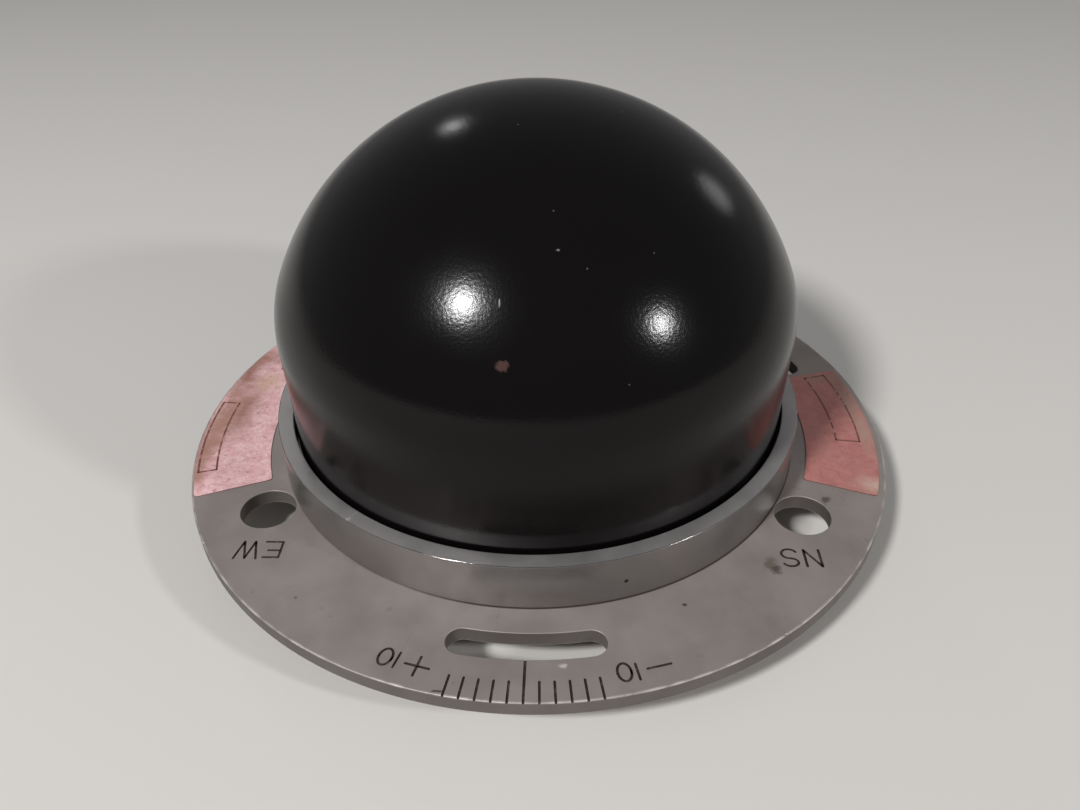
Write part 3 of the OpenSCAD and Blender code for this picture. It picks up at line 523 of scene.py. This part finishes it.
def paper(name, dark, light, stains):
    """Label paper of two tones, with its own stains (middle, half lengths and shade)."""
    finish, tree, shader, place = new_finish(name, {"Roughness": 0.58})
    pink = mottled(tree, place, 1.6, dark, light, detail=5, rough=0.7)[1]
    damp = add(tree, "ShaderNodeTexNoise", {
        "Scale": per_mm(8), "Detail": 5, "Roughness": 0.62, "Distortion": 0.4}, {"Vector": place})
    damped = add(tree, "ShaderNodeMapRange", {"From Min": 0.58, "From Max": 0.74, "To Max": 0.6},
                 {"Value": damp.outputs["Fac"]})
    tint = add(tree, "ShaderNodeMix", {"data_type": "RGBA", 7: colour("#a3786b")},
               {0: damped.outputs["Result"], 6: pink}).outputs[2]
    tide = add(tree, "ShaderNodeTexNoise",
               {"Scale": per_mm(2.5), "Detail": 4, "Roughness": 0.65}, {"Vector": place})
    for x, y, half_x, half_y, shade in stains:
        patch = blemish(tree, place, tide.outputs["Fac"], (x, y, FACE_Z),
                        (half_x, half_y, STAIN_REACH_Z), soft=1)
        tint = add(tree, "ShaderNodeMix", {"data_type": "RGBA", 7: colour(shade)},
                   {0: patch, 6: tint}).outputs[2]
    cracks = add(tree, "ShaderNodeTexVoronoi",
                 {"feature": "DISTANCE_TO_EDGE", "Scale": per_mm(1.5)}, {"Vector": place})
    crazed = add(tree, "ShaderNodeMapRange", {"From Min": 0.06, "From Max": 0, "To Max": 0.4},
                 {"Value": cracks.outputs["Distance"]})
    fleck = add(tree, "ShaderNodeTexNoise", {"Scale": per_mm(0.9), "Detail": 3}, {"Vector": place})
    flecked = add(tree, "ShaderNodeMapRange", {"From Min": 0.62, "From Max": 0.72, "To Max": 0.5},
                  {"Value": fleck.outputs["Fac"]})
    height = add(tree, "ShaderNodeSeparateXYZ", {}, {0: place})
    # The paper's cut edges are painted darker, as painted shade
    side = add(tree, "ShaderNodeMapRange", {
        "From Min": (FACE_Z + LABEL_T - CUT_EDGE_BAND[0]) * MM,
        "From Max": (FACE_Z + LABEL_T - CUT_EDGE_BAND[1]) * MM, "To Max": 0.85},
        {"Value": height.outputs["Z"]})
    for mask, shade in ((crazed, "#a8746f"), (flecked, "#80564c"), (side, "#4d332c")):
        tint = add(tree, "ShaderNodeMix", {"data_type": "RGBA", 7: colour(shade)},
                   {0: mask.outputs["Result"], 6: tint}).outputs[2]
    cockle = add(tree, "ShaderNodeBump", {"Strength": 0.25, "Distance": 0.15 * MM},
                 {"Height": damp.outputs["Fac"]})
    feed(tree, shader, {"Base Color": tint, "Normal": cockle.outputs["Normal"]})
    return finish


# Aged pink paper: chalky and crazed, with brown tide marks, dark flecks, a slight cockle and
# cut edges painted darker as painted shade. The right label is painted in a darker, redder pink,
# as painted shade.
faded_paper = paper("aged_pink_paper", "#d3a0a3", "#e8c3c4", (
    (-54.8, 1.5, 2.1, 6, "#94695b"), (-57.4, 14, 1.6, 6, "#8f6557"),
    (-58, -9, 1.4, 6, "#a07566"), (-57.5, -2, 1.5, 8, "#a87d6e"),
    (-52.4, 11.6, 1.7, 2, "#c8a58e"), (-57, -17.4, 1.2, 1.8, "#ab8072"),
    (-55.5, 20, 2.5, 2.5, "#9a7062")))
# The right label's paper: the pink painted darker and redder, as painted shade
shaded_paper = paper("pink_paper_painted_shade", "#9c625d", "#ae746e", (
    (57.4, 8.2, 1.2, 6.5, "#8d7268"), (58, -3.2, 1, 4.5, "#9d8074"),
    (55.8, -17.4, 2.2, 1.5, "#b89a8e"), (53.5, 13.6, 2.6, 1.2, "#9c776a"),
    (49.5, -2, 1.2, 5, "#a8726c")))

# Printing ink: a thin brown line, paler where the paper has rubbed.
label_ink, tree, shader, place = new_finish("label_ink", {"Roughness": 0.6})
rub = add(tree, "ShaderNodeTexNoise", {"Scale": per_mm(1.2), "Detail": 2}, {"Vector": place})
rubbing = add(tree, "ShaderNodeMapRange", {"From Min": 0.5, "From Max": 0.68},
              {"Value": rub.outputs["Fac"]})
line = add(tree, "ShaderNodeMix",
           {"data_type": "RGBA", 6: colour("#6c463f"), 7: colour("#a8796f")},
           {0: rubbing.outputs["Result"]})
feed(tree, shader, {"Base Color": line.outputs[2]})


def label_outline(corners):
    """A label's outline through its corners (radius, angle), eased, and curved along the flange."""
    arc = math.radians(FLANGE_R)
    path = []
    for i, (r, angle) in enumerate(corners):
        next_r, next_angle = corners[(i + 1) % len(corners)]
        path.append((angle * arc, r, LABEL_EASE))
        if next_r == r:
            path += [((angle + (next_angle - angle) * k / LABEL_STEPS) * arc, r, 0)
                     for k in range(LABEL_END_STEPS, LABEL_STEPS - LABEL_END_STEPS + 1)]
    return [polar(r, u / arc) for u, r in eased(path)]


# The left label is cut round the end of an index slot
LEFT_LABEL = ((47.35, -68.35), (47.35, -106.9), (53.9, -106.9), (53.9, -117), (59.95, -117),
              (59.95, -68.35))
RIGHT_LABEL = ((47.4, 70.1), (47.4, 106.2), (59.2, 106.2), (59.2, 70.1))
# Label, its corners, its frame's inner and outer radius and front and rear angle, and its paper
for name, corners, inner, outer, front, rear, finish in (
        ("label_left", LEFT_LABEL, 56.3, 59.3, -74.4, -94.2, faded_paper),
        ("label_right", RIGHT_LABEL, 52.75, 56.7, 84, 105, shaded_paper)):
    top = FACE_Z + LABEL_T
    solids = [(0, [(z, label_outline(corners)) for z in (FACE_Z, top)])]
    angles = [front + (rear - front) * i / FRAME_STEPS for i in range(FRAME_STEPS + 1)]
    for run in ([polar(inner, a) for a in angles], [polar(outer, a) for a in angles],
                [polar(inner, front), polar(outer, front)],
                [polar(inner, rear), polar(outer, rear)]):
        solids.append((1, [(z, ribbon(run, FRAME_HALF))
                           for z in (top - FRAME_SUNK, top + FRAME_T)]))
    label = lofted(name, solids, [finish, label_ink])
    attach(label, "case")


# Terminal block: a brown phenolic moulding behind the flange, with six sealed brass studs that
# carry the windings out of the bowl. Nickelled brass screws hold it and a rubber gasket seals it.
def dress(finish, *nodes):
    """Give CAD nodes a finish."""
    for node in nodes:
        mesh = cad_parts[node].data
        mesh.materials.clear()
        mesh.materials.append(finish)


def metal(name, dark, light, rough, cloud_mm, line_mm):
    """A worked metal: two tones in soft clouds, and fine tool lines round the axis and along it."""
    finish, tree, shader, place = new_finish(name, {"Metallic": 1})
    tint = mottled(tree, place, cloud_mm, dark, light, detail=3)[1]
    height = add(tree, "ShaderNodeSeparateXYZ", {}, {0: place})
    along = add(tree, "ShaderNodeMath", {"operation": "ADD"},
                {0: off_axis(tree, place), 1: height.outputs["Z"]})
    lines = add(tree, "ShaderNodeTexNoise",
                {"noise_dimensions": "1D", "Scale": per_mm(line_mm), "Detail": 2},
                {"W": along.outputs[0]})
    dull = add(tree, "ShaderNodeMapRange", {"To Min": rough - 0.07, "To Max": rough + 0.1},
               {"Value": lines.outputs["Fac"]})
    cuts = add(tree, "ShaderNodeBump", {"Strength": 0.12, "Distance": 0.02 * MM},
               {"Height": lines.outputs["Fac"]})
    feed(tree, shader, {"Base Color": tint, "Roughness": dull.outputs["Result"],
                        "Normal": cuts.outputs["Normal"]})
    return finish


def moulded(name, dark, light, rough, speck_mm, depth_mm):
    """A moulded or pressed soft surface: two tones in specks, with a faint pebble."""
    finish, tree, shader, place = new_finish(name, {})
    specks, tint = mottled(tree, place, speck_mm, dark, light)
    dull = add(tree, "ShaderNodeMapRange", {"To Min": rough - 0.08, "To Max": rough + 0.08},
               {"Value": specks})
    pebble = add(tree, "ShaderNodeBump", {"Strength": 0.3, "Distance": depth_mm * MM},
                 {"Height": specks})
    feed(tree, shader, {"Base Color": tint, "Roughness": dull.outputs["Result"],
                        "Normal": pebble.outputs["Normal"]})
    return finish


# Brown phenolic: wood-filled resin, so it is flecked and half matt.
phenolic = moulded("brown_phenolic", "#3a2216", "#4f3120", rough=0.42, speck_mm=0.8, depth_mm=0.02)
# Black rubber: matt, greyed on its skin.
rubber = moulded("black_rubber", "#1d1b19", "#2b2927", rough=0.75, speck_mm=0.6, depth_mm=0.03)
# Nickel plate on brass: a warm dull grey. Bare brass: a yellow satin, lightly tarnished.
# Tool lines on small metal pieces are finer than 0.1 mm, and are drawn coarser so that they show.
nickel = metal("nickelled_brass", "#8d867a", "#a49d90", rough=0.32, cloud_mm=3, line_mm=0.25)
brass = metal("bare_brass", "#a98344", "#c09a58", rough=0.3, cloud_mm=4, line_mm=0.25)
dress(phenolic, "terminal_block")
dress(rubber, "terminal_gasket", "filler_washer")
dress(brass, "terminal_studs")
dress(nickel, "terminal_screws", "block_screws", "filler_plug")


# Universal joint: a fixed fork stands on the flange and a swinging fork hangs in it by a small
# nickelled cross. Ground pins pressed into the cross turn in flanged brass bushes.
# Turned aluminium: a pale satin drawn out by tool lines. Ground steel: smoother and brighter.
turned_aluminium = metal("turned_aluminium", "#92928f", "#a8a8a6",
                         rough=0.34, cloud_mm=7, line_mm=0.25)
pivot_steel = metal("pivot_steel", "#9a9a9c", "#aeaeb0", rough=0.2, cloud_mm=3, line_mm=0.2)
dress(turned_aluminium, "pivot_hanger", "pendulum_fork")
dress(brass, "hanger_bushes", "pendulum_bushes")
dress(nickel, "hanger_screws", "gimbal_block")
dress(pivot_steel, "roll_pins", "pitch_pins")


# Sensing element: a three-legged spider of nickel-iron plates with a curved horn on each leg,
# an excitation winding in the middle and a pick-up winding on each leg, under a brass weight.
LEG_ANGLES, WIRE_PITCH, WIRE_DEPTH = (90, 210, 330), 0.3, 0.08
# Annealed nickel-iron: a dull dark grey, clouded by the furnace. Nylon: cream, waxy and even.
core_alloy = metal("annealed_nickel_iron", "#6a6b6d", "#7f8082",
                   rough=0.42, cloud_mm=5, line_mm=0.3)
nylon = moulded("cream_nylon", "#cfc4a6", "#dcd2b6", rough=0.45, speck_mm=1.2, depth_mm=0.015)


def winding(name, axes):
    """Wire wound along these directions, whichever is nearest."""
    finish, tree, shader, place = new_finish(name, {
        "Metallic": 0.85, "Coat Weight": 0.4, "Coat Roughness": 0.2})
    run = None
    for axis in axes:
        step = add(tree, "ShaderNodeVectorMath", {"operation": "DOT_PRODUCT", 1: axis},
                   {0: place}).outputs["Value"]
        run = add(tree, "ShaderNodeMath", {"operation": "MAXIMUM"},
                  {0: run, 1: step}).outputs[0] if run else step
    across = add(tree, "ShaderNodeCombineXYZ", {}, {"X": run})
    # A wave texture at scale 1 has a band every pi / 10
    turns = add(tree, "ShaderNodeTexWave", {
        "wave_type": "BANDS", "bands_direction": "X", "Scale": math.pi / 10 * per_mm(WIRE_PITCH)},
        {"Vector": across.outputs[0]})
    varnish = add(tree, "ShaderNodeTexNoise", {"Scale": per_mm(2.5), "Detail": 3},
                  {"Vector": place})
    amber = add(tree, "ShaderNodeMix",
                {"data_type": "RGBA", 6: colour("#9a4f27"), 7: colour("#b56a3a")},
                {0: varnish.outputs["Fac"]})
    # The valleys between turns are painted darker, as painted shade
    wire = add(tree, "ShaderNodeMix", {"data_type": "RGBA", 6: colour("#5f2c14")},
               {0: turns.outputs["Fac"], 7: amber.outputs[2]})
    gloss = add(tree, "ShaderNodeMapRange", {"To Min": 0.42, "To Max": 0.28},
                {"Value": turns.outputs["Fac"]})
    wound = add(tree, "ShaderNodeBump", {"Strength": 0.6, "Distance": WIRE_DEPTH * MM},
                {"Height": turns.outputs["Fac"]})
    feed(tree, shader, {"Base Color": wire.outputs[2], "Roughness": gloss.outputs["Result"],
                        "Normal": wound.outputs["Normal"]})
    return finish


# Enamelled copper wire: varnished turns side by side, drawn 0.3 mm apart so that they show,
# with the valleys between turns painted darker as painted shade
excitation_wire = winding("excitation_copper_wire", [(0, 0, 1)])
pickup_wire = winding("pickup_copper_wire", [
    (math.cos(math.radians(a)), math.sin(math.radians(a)), 0) for a in LEG_ANGLES])
dress(core_alloy, "lower_core", "upper_core", "centre_core", "collector_horns")
dress(nylon, "excitation_bobbin", "pickup_bobbins")
dress(excitation_wire, "excitation_coil")
dress(pickup_wire, "pickup_coils")
dress(brass, "pendulum_weight")
dress(nickel, "stack_bolts", "stack_nuts")


# Bowl: a spun metal dome, stove enamelled glossy black, that holds the damping fluid. Its lip
# sits on a flat rubber seal on the flange's spigot.
LIP_Z, LIP_T, LIP_R, LIP_EASE = 12.5, 2.0, 43.3, 0.2
FOOT_R, FOOT_EASE, FOOT_RISE = 41.5, 0.3, 0.4
BOWL_R, BOWL_WALL, CROWN_R, CROWN_Z, SHOULDER_R = 42.0, 2.0, 44.0, 23.5, 20.0
WALL_STEPS, SHOULDER_STEPS, CROWN_STEPS = 6, 16, 72
CHIP, SPECK, LINT = (-2.62, -38.14, 45.28), (4.07, -28.87, 56.45), (-3.1, -33.7, 51.65)
# Stove enamel: near black and glossy, with a fine orange peel that makes its highlights grainy,
# a few grains of dust, patches dulled by handling, a chip down to the primer, a pale speck and
# a fleck of lint.
stove_enamel, tree, shader, place = new_finish("black_stove_enamel", {"Specular IOR Level": 0.18})
haze = add(tree, "ShaderNodeTexNoise", {"Scale": per_mm(14), "Detail": 4}, {"Vector": place})
hazy = add(tree, "ShaderNodeMapRange", {
    "From Min": 0.35, "From Max": 0.7, "To Min": 0.14, "To Max": 0.19},
    {"Value": haze.outputs["Fac"]})
grains = add(tree, "ShaderNodeTexVoronoi", {"Scale": per_mm(4.5)}, {"Vector": place})
grain = add(tree, "ShaderNodeMapRange", {"From Min": 0.034, "From Max": 0.018},
            {"Value": grains.outputs["Distance"]})
chance = add(tree, "ShaderNodeSeparateColor", {}, {0: grains.outputs["Color"]})
some = add(tree, "ShaderNodeMath", {"operation": "GREATER_THAN", 1: 0.45}, {0: chance.outputs[0]})
dust = add(tree, "ShaderNodeMath", {"operation": "MULTIPLY"},
           {0: grain.outputs["Result"], 1: some.outputs[0]})
dusty = add(tree, "ShaderNodeMix",
            {"data_type": "RGBA", 6: colour("#0a0808"), 7: colour("#4a4541")},
            {0: dust.outputs[0]})
ragged = add(tree, "ShaderNodeTexNoise", {"Scale": per_mm(0.7), "Detail": 3}, {"Vector": place})
tint, bare = dusty.outputs[2], dust.outputs[0]
for spot, reach, shade in ((CHIP, (0.78, 0.65, 0.65), "#3d2622"),
                           (SPECK, (0.28, 0.18, 0.18), "#6f6861"),
                           (LINT, (0.12, 0.6, 0.6), "#7d7f82")):
    patch = blemish(tree, place, ragged.outputs["Fac"], spot, reach)
    tint = add(tree, "ShaderNodeMix", {"data_type": "RGBA", 7: colour(shade)},
               {0: patch, 6: tint}).outputs[2]
    bare = add(tree, "ShaderNodeMath", {"operation": "MAXIMUM"}, {0: bare, 1: patch}).outputs[0]
matt = add(tree, "ShaderNodeMath", {"operation": "MULTIPLY_ADD", 1: 0.4},
           {0: bare, 2: hazy.outputs["Result"]})
# The orange peel of the enamel runs to about half a millimetre
peel = add(tree, "ShaderNodeTexNoise", {"Scale": per_mm(0.45), "Detail": 3, "Roughness": 0.6},
           {"Vector": place})
peeled = add(tree, "ShaderNodeBump", {"Strength": 0.7, "Distance": 0.026 * MM},
             {"Height": peel.outputs["Fac"]})
feed(tree, shader, {"Base Color": tint, "Roughness": matt.outputs[0],
                    "Normal": peeled.outputs["Normal"]})

shoulder_x = BOWL_R - SHOULDER_R
shoulder_z = CROWN_Z + math.sqrt((CROWN_R - SHOULDER_R) ** 2 - shoulder_x ** 2)
lean = math.atan2(shoulder_z - CROWN_Z, shoulder_x)


def dome(inset):
    """The bowl's half section from foot to crown, drawn in by inset."""
    points = [(FOOT_R - inset + (BOWL_R - FOOT_R) * i / WALL_STEPS,
               LIP_Z + (shoulder_z - LIP_Z) * i / WALL_STEPS) for i in range(WALL_STEPS)]
    points += [(shoulder_x + (SHOULDER_R - inset) * math.cos(lean * i / SHOULDER_STEPS),
                shoulder_z + (SHOULDER_R - inset) * math.sin(lean * i / SHOULDER_STEPS))
               for i in range(SHOULDER_STEPS + 1)]
    for i in range(1, CROWN_STEPS + 1):
        rise = lean + (math.pi / 2 - lean) * i / CROWN_STEPS
        points.append(((CROWN_R - inset) * math.cos(rise) if i < CROWN_STEPS else 0,
                       CROWN_Z + (CROWN_R - inset) * math.sin(rise)))
    return points


inside = dome(BOWL_WALL)
lip = eased(((LIP_R, LIP_Z, LIP_EASE), (LIP_R, LIP_Z + LIP_T, LIP_EASE),
             (FOOT_R, LIP_Z + LIP_T, FOOT_EASE), (FOOT_R, LIP_Z + 2 * LIP_T, 0),
             (inside[0][0], LIP_Z, 0)))
outside = [p for p in dome(0) if p[1] > LIP_Z + LIP_T + FOOT_RISE]
bowl = turned("bowl_dome", list(reversed(inside)) + [tuple(p) for p in lip[:-2]] + outside,
              stove_enamel, steps=320)
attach(bowl, "case")
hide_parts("bowl")
dress(rubber, "bowl_seal")


# Clamp ring: turned from aluminium bar, screwed down on the spigot over the bowl's lip. A small
# gap shows between its bore and the bowl, and a fine shadow line where it meets the flange.
RING_BORE_R, RING_TOP, RING_LIP_Z, THREAD_R = 42.1, 16.7, 14.5, 43.5
RING_EDGE, RING_FOOT_EASE, RING_BORE_EASE = 0.13, 0.16, 0.2
RING_FOOT_BAND = (0.24, 0.1)
# Turned, then blasted finer than the flange: an even satin grey, with grime in its bottom edge
# deepened by painted shade and thinned at the left by painted light, a dark dot and a pale rub.
# Its small top edge is smooth, so it shows as a fine dark line that glints under a lamp, and its
# wall is duller than its top; the wall and that edge are painted darker, as painted shade.
ring_aluminium, tree, shader, place = new_finish("fine_blasted_aluminium", {"Metallic": 0.9})
clouds, tint = mottled(tree, place, 7, "#b6b2b1", "#c0bcbb")
ragged = add(tree, "ShaderNodeTexNoise", {"Scale": per_mm(0.8), "Detail": 3}, {"Vector": place})
for x, y, z, half, shade in ((13.84, -42.45, 11.97, 0.28, "#4a413d"),
                             (-26.4, -35.46, RING_TOP, 0.34, "#d8d6d3")):
    patch = blemish(tree, place, ragged.outputs["Fac"], (x, y, z), (half, half, half))
    tint = add(tree, "ShaderNodeMix", {"data_type": "RGBA", 7: colour(shade)},
               {0: patch, 6: tint}).outputs[2]
height = add(tree, "ShaderNodeSeparateXYZ", {}, {0: place})
outer = add(tree, "ShaderNodeMapRange", {
    "From Min": (RING_R - RING_EDGE) * MM, "From Max": (RING_R - RING_EDGE * 0.85) * MM},
    {"Value": off_axis(tree, place)})
# The wall and the outer part of the top edge are painted darker than the top, as painted shade
wall = add(tree, "ShaderNodeMapRange", {"To Min": 1, "To Max": 0.55},
           {"Value": outer.outputs["Result"]})
shaded_sides_tint = add(tree, "ShaderNodeMix", {"data_type": "RGBA", "blend_type": "MULTIPLY", 0: 1},
             {6: tint, 7: wall.outputs["Result"]})
# The ring's foot: grime deepened by painted shade, thinned at the left by painted light
foot = add(tree, "ShaderNodeMapRange", {
    "From Min": (FACE_Z + RING_FOOT_BAND[0]) * MM, "From Max": (FACE_Z + RING_FOOT_BAND[1]) * MM,
    "To Max": 0.85}, {"Value": height.outputs["Z"]})
grime_and_shade = add(tree, "ShaderNodeMix", {"data_type": "RGBA", 7: colour(GRIME_AND_SHADE)},
            {0: seam_grime_and_shade(tree, foot.outputs["Result"], height.outputs["X"]), 6: shaded_sides_tint.outputs[2]})
brow = add(tree, "ShaderNodeMapRange", {
    "From Min": (RING_TOP - RING_EDGE * 1.1) * MM, "From Max": (RING_TOP - RING_EDGE * 0.9) * MM,
    "To Min": 0.24, "To Max": 0.01}, {"Value": height.outputs["Z"]})
blasted = add(tree, "ShaderNodeMix", {2: 0.42},
              {0: outer.outputs["Result"], 3: brow.outputs["Result"]})
dullness = add(tree, "ShaderNodeMath", {"operation": "MULTIPLY_ADD", 1: 0.18},
               {0: clouds, 2: blasted.outputs[0]})
# The finer grit is also drawn at 0.3 mm so that it shows
grit = add(tree, "ShaderNodeTexNoise", {"Scale": per_mm(GRIT_MM), "Detail": 2}, {"Vector": place})
grain = add(tree, "ShaderNodeBump", {"Strength": 0.5, "Distance": GRIT_DEPTH * MM},
            {"Height": grit.outputs["Fac"]})
feed(tree, shader, {"Base Color": grime_and_shade.outputs[2], "Roughness": dullness.outputs[0],
                    "Normal": grain.outputs["Normal"]})
ring = turned("clamp_ring_turning", eased((
    (THREAD_R, FACE_Z, 0), (RING_R, FACE_Z, RING_FOOT_EASE), (RING_R, RING_TOP, RING_EDGE),
    (RING_BORE_R, RING_TOP, RING_BORE_EASE), (RING_BORE_R, RING_LIP_Z, 0),
    (THREAD_R, RING_LIP_Z, 0))), ring_aluminium, steps=480)
# A fitter's scribed line across the top
SCRIBE_ANGLE, SCRIBE_HALF, SCRIBE_DEPTH, SCRIBE_PAST = -36.8, 0.05, 0.06, 0.3
scribed = [polar(RING_BORE_R - SCRIBE_PAST, SCRIBE_ANGLE),
           polar(RING_R + SCRIBE_PAST, SCRIBE_ANGLE)]
cut(ring, lofted("scribed_line", [(0, [(RING_TOP - SCRIBE_DEPTH, ribbon(scribed, SCRIBE_HALF)),
                                       (RING_TOP + CLEAR, ribbon(scribed, SCRIBE_HALF * 2))])],
                 [ring_aluminium]))
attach(ring, "case")
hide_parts("clamp_ring")


# Rear cover: a shallow pan spun from aluminium, closed on a gasket against the flange's step and
# held by four countersunk screws. The cable leaves through a rubber grommet in a pressed pocket.
COVER_T, COVER_TOP, COVER_IN_R = 1.2, 4.6, 41.45
COVER_CORNER, COVER_IN_CORNER, COVER_LIP_EASE = 1.1, 0.8, 0.1
SCREW_COUNT, SCREW_FIRST, SCREW_R, SCREW_END, SCREW_POINT = 4, 45, 1.5, 7.95, 0.3
HEAD_R, HEAD_Z, HEAD_END, HEAD_EASE, HEAD_ROOM, BOSS_R = 2.7, 0.05, 1.25, 0.12, 0.05, 3.2
DRIVER_HALF, DRIVER_LONG, DRIVER_TOP = 0.3, 4, 0.55
GROMMET_Y, GROMMET_BORE_R, GROMMET_NECK_R, GROMMET_LIP_R = 32.8, 3.2, 4.8, 6.6
GROMMET_Z, GROMMET_TOP = 0.3, 4.1
GROMMET_BORE_EASE, GROMMET_EASE, GROMMET_NECK_EASE = 0.4, 0.6, 0.2
POCKET_R, POCKET_DEPTH, POCKET_FLARE, POCKET_FLOOR, POCKET_LAP = 7.1, 1.6, 0.25, 0.4, 0.5
# Spun aluminium: a satin grey, with rings from the spinning tool drawn 0.6 mm apart
cover_aluminium = metal("spun_cover_aluminium", "#8b8a88", "#949391",
                        rough=0.38, cloud_mm=14, line_mm=0.6)
cover = turned("rear_cover_pan", eased((
    (0, 0, 0), (STEP_R, 0, COVER_CORNER), (STEP_R, COVER_TOP, COVER_LIP_EASE),
    (COVER_IN_R, COVER_TOP, COVER_LIP_EASE), (COVER_IN_R, COVER_T, COVER_IN_CORNER),
    (0, COVER_T, 0)), 8), cover_aluminium, steps=360)
grommet_at = Vector((0, GROMMET_Y))
screw_step = 360 / SCREW_COUNT
screw_spots = [polar(SCREW_PCR, SCREW_FIRST + screw_step * i) for i in range(SCREW_COUNT)]
bosses = [(0, [(z, ring_of(p, BOSS_R, 48)) for z in (COVER_T / 2, SEAT_Z)]) for p in screw_spots]
bosses.append((0, [(z, ring_of(grommet_at, POCKET_R + COVER_T, 96))
                   for z in (POCKET_FLOOR, POCKET_DEPTH + COVER_T)]))
cut(cover, lofted("bosses", bosses, [cover_aluminium]), "UNION")
sinks = [(0, [(z, ring_of(p, r, 48)) for z, r in (
    (-RUN_OUT, HEAD_R + RUN_OUT + HEAD_ROOM), (HEAD_END, SCREW_R + HEAD_ROOM),
    (SEAT_Z + RUN_OUT, SCREW_R + HEAD_ROOM))]) for p in screw_spots]
sinks.append((0, [(z, ring_of(grommet_at, r, 96)) for z, r in (
    (-RUN_OUT, POCKET_R + POCKET_FLARE), (POCKET_FLARE, POCKET_R), (POCKET_DEPTH, POCKET_R))]))
sinks.append((0, [(z, ring_of(grommet_at, GROMMET_NECK_R))
                  for z in (POCKET_DEPTH - POCKET_LAP, SEAT_Z)]))
cut(cover, lofted("sinks", sinks, [cover_aluminium]))
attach(cover, "case")
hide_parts("rear_cover")

screw = turned("cover_screw_set", eased((
    (0, HEAD_Z, 0), (HEAD_R, HEAD_Z, HEAD_EASE), (SCREW_R, HEAD_END, 0),
    (SCREW_R, SCREW_END, SCREW_POINT), (0, SCREW_END, 0))), nickel, steps=48)
driver = [(x * DRIVER_LONG, y * DRIVER_HALF) for x, y in ((-1, -1), (1, -1), (1, 1), (-1, 1))]
cut(screw, lofted("driver_slot", [(0, [(z, driver) for z in (-RUN_OUT, DRIVER_TOP)])], [nickel]))
screw.data.transform(Matrix.Translation((SCREW_PCR * MM, 0, 0)))
set_out(screw, SCREW_COUNT, SCREW_FIRST, screw_step, nickel)
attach(screw, "case")
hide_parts("cover_screws")

grommet = turned("grommet_moulding", eased((
    (GROMMET_BORE_R, GROMMET_Z, GROMMET_BORE_EASE), (GROMMET_LIP_R, GROMMET_Z, GROMMET_EASE),
    (GROMMET_LIP_R, POCKET_DEPTH, GROMMET_NECK_EASE), (GROMMET_NECK_R, POCKET_DEPTH, 0),
    (GROMMET_NECK_R, POCKET_DEPTH + COVER_T, 0),
    (GROMMET_LIP_R, POCKET_DEPTH + COVER_T, GROMMET_NECK_EASE),
    (GROMMET_LIP_R, GROMMET_TOP, GROMMET_EASE),
    (GROMMET_BORE_R, GROMMET_TOP, GROMMET_BORE_EASE))), rubber, steps=96)
grommet.data.transform(Matrix.Translation((0, GROMMET_Y * MM, 0)))
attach(grommet, "case")
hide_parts("cable_grommet")
dress(rubber, "rear_gasket")


# Stage: a plain pale floor under soft studio light, seen from the photograph's place.
# The floor is painted board, matt and even.
FLOOR_HALF = 4
floor_paint = new_finish("pale_floor", {"Roughness": 0.85, "Base Color": colour("#c9c6c2")})[0]
mesh = bpy.data.meshes.new("floor")
mesh.from_pydata([(x * FLOOR_HALF, y * FLOOR_HALF, 0)
                  for x, y in ((-1, -1), (1, -1), (1, 1), (-1, 1))], [], [(0, 1, 2, 3)])
mesh.materials.append(floor_paint)
floor = bpy.data.objects.new("floor", mesh)
bpy.context.scene.collection.objects.link(floor)

world = bpy.data.worlds.new("studio")
world.use_nodes = True
background = world.node_tree.nodes["Background"].inputs
background["Color"].default_value = colour("#e8e8ea")
background["Strength"].default_value = 0.25
bpy.context.scene.world = world

# Lamp, angle from the zero mark, height angle, distance, size and watts
AIM = Vector((0, 0, 0.04))
for name, angle, rise, away, size, watts in (
        ("key", -37.6, 43.6, 0.9, 0.13, 7.5), ("side", 60.2, 26.9, 0.9, 0.08, 2.8),
        ("back_left", -154.6, 35, 1.1, 0.1, 0.22), ("back_right", 132.4, 19, 1.1, 0.2, 0.2)):
    lamp = bpy.data.lights.new(name, "AREA")
    lamp.shape, lamp.size, lamp.energy = "DISK", size, watts
    spot = bpy.data.objects.new(name, lamp)
    bpy.context.scene.collection.objects.link(spot)
    flat_part = polar(math.cos(math.radians(rise)), angle)
    spot.location = AIM + Vector((flat_part.x, flat_part.y, math.sin(math.radians(rise)))) * away
    spot.rotation_euler = (AIM - spot.location).to_track_quat("-Z", "Y").to_euler()

# The camera's place and axes, worked out from the flange's circles in the photograph
EYE = Vector((5.44, -129.69, 105.77)) * MM
RIGHT, UP = (0.9994, 0.0297, -0.0124), (-0.0074, 0.5868, 0.8097)
AHEAD = (-0.0313, 0.8092, -0.5868)
SENSOR, FOCAL, NEAR = 36, 29.68, 0.01
lens = bpy.data.cameras.new("camera")
lens.sensor_fit, lens.sensor_width, lens.lens, lens.clip_start = "HORIZONTAL", SENSOR, FOCAL, NEAR
camera = bpy.data.objects.new("camera", lens)
bpy.context.scene.collection.objects.link(camera)
axes = Matrix((RIGHT, UP, [-c for c in AHEAD])).transposed()
camera.matrix_world = Matrix.Translation(EYE) @ axes.to_quaternion().to_matrix().to_4x4()
bpy.context.scene.camera = camera
bpy.context.scene.view_settings.view_transform = "Standard"
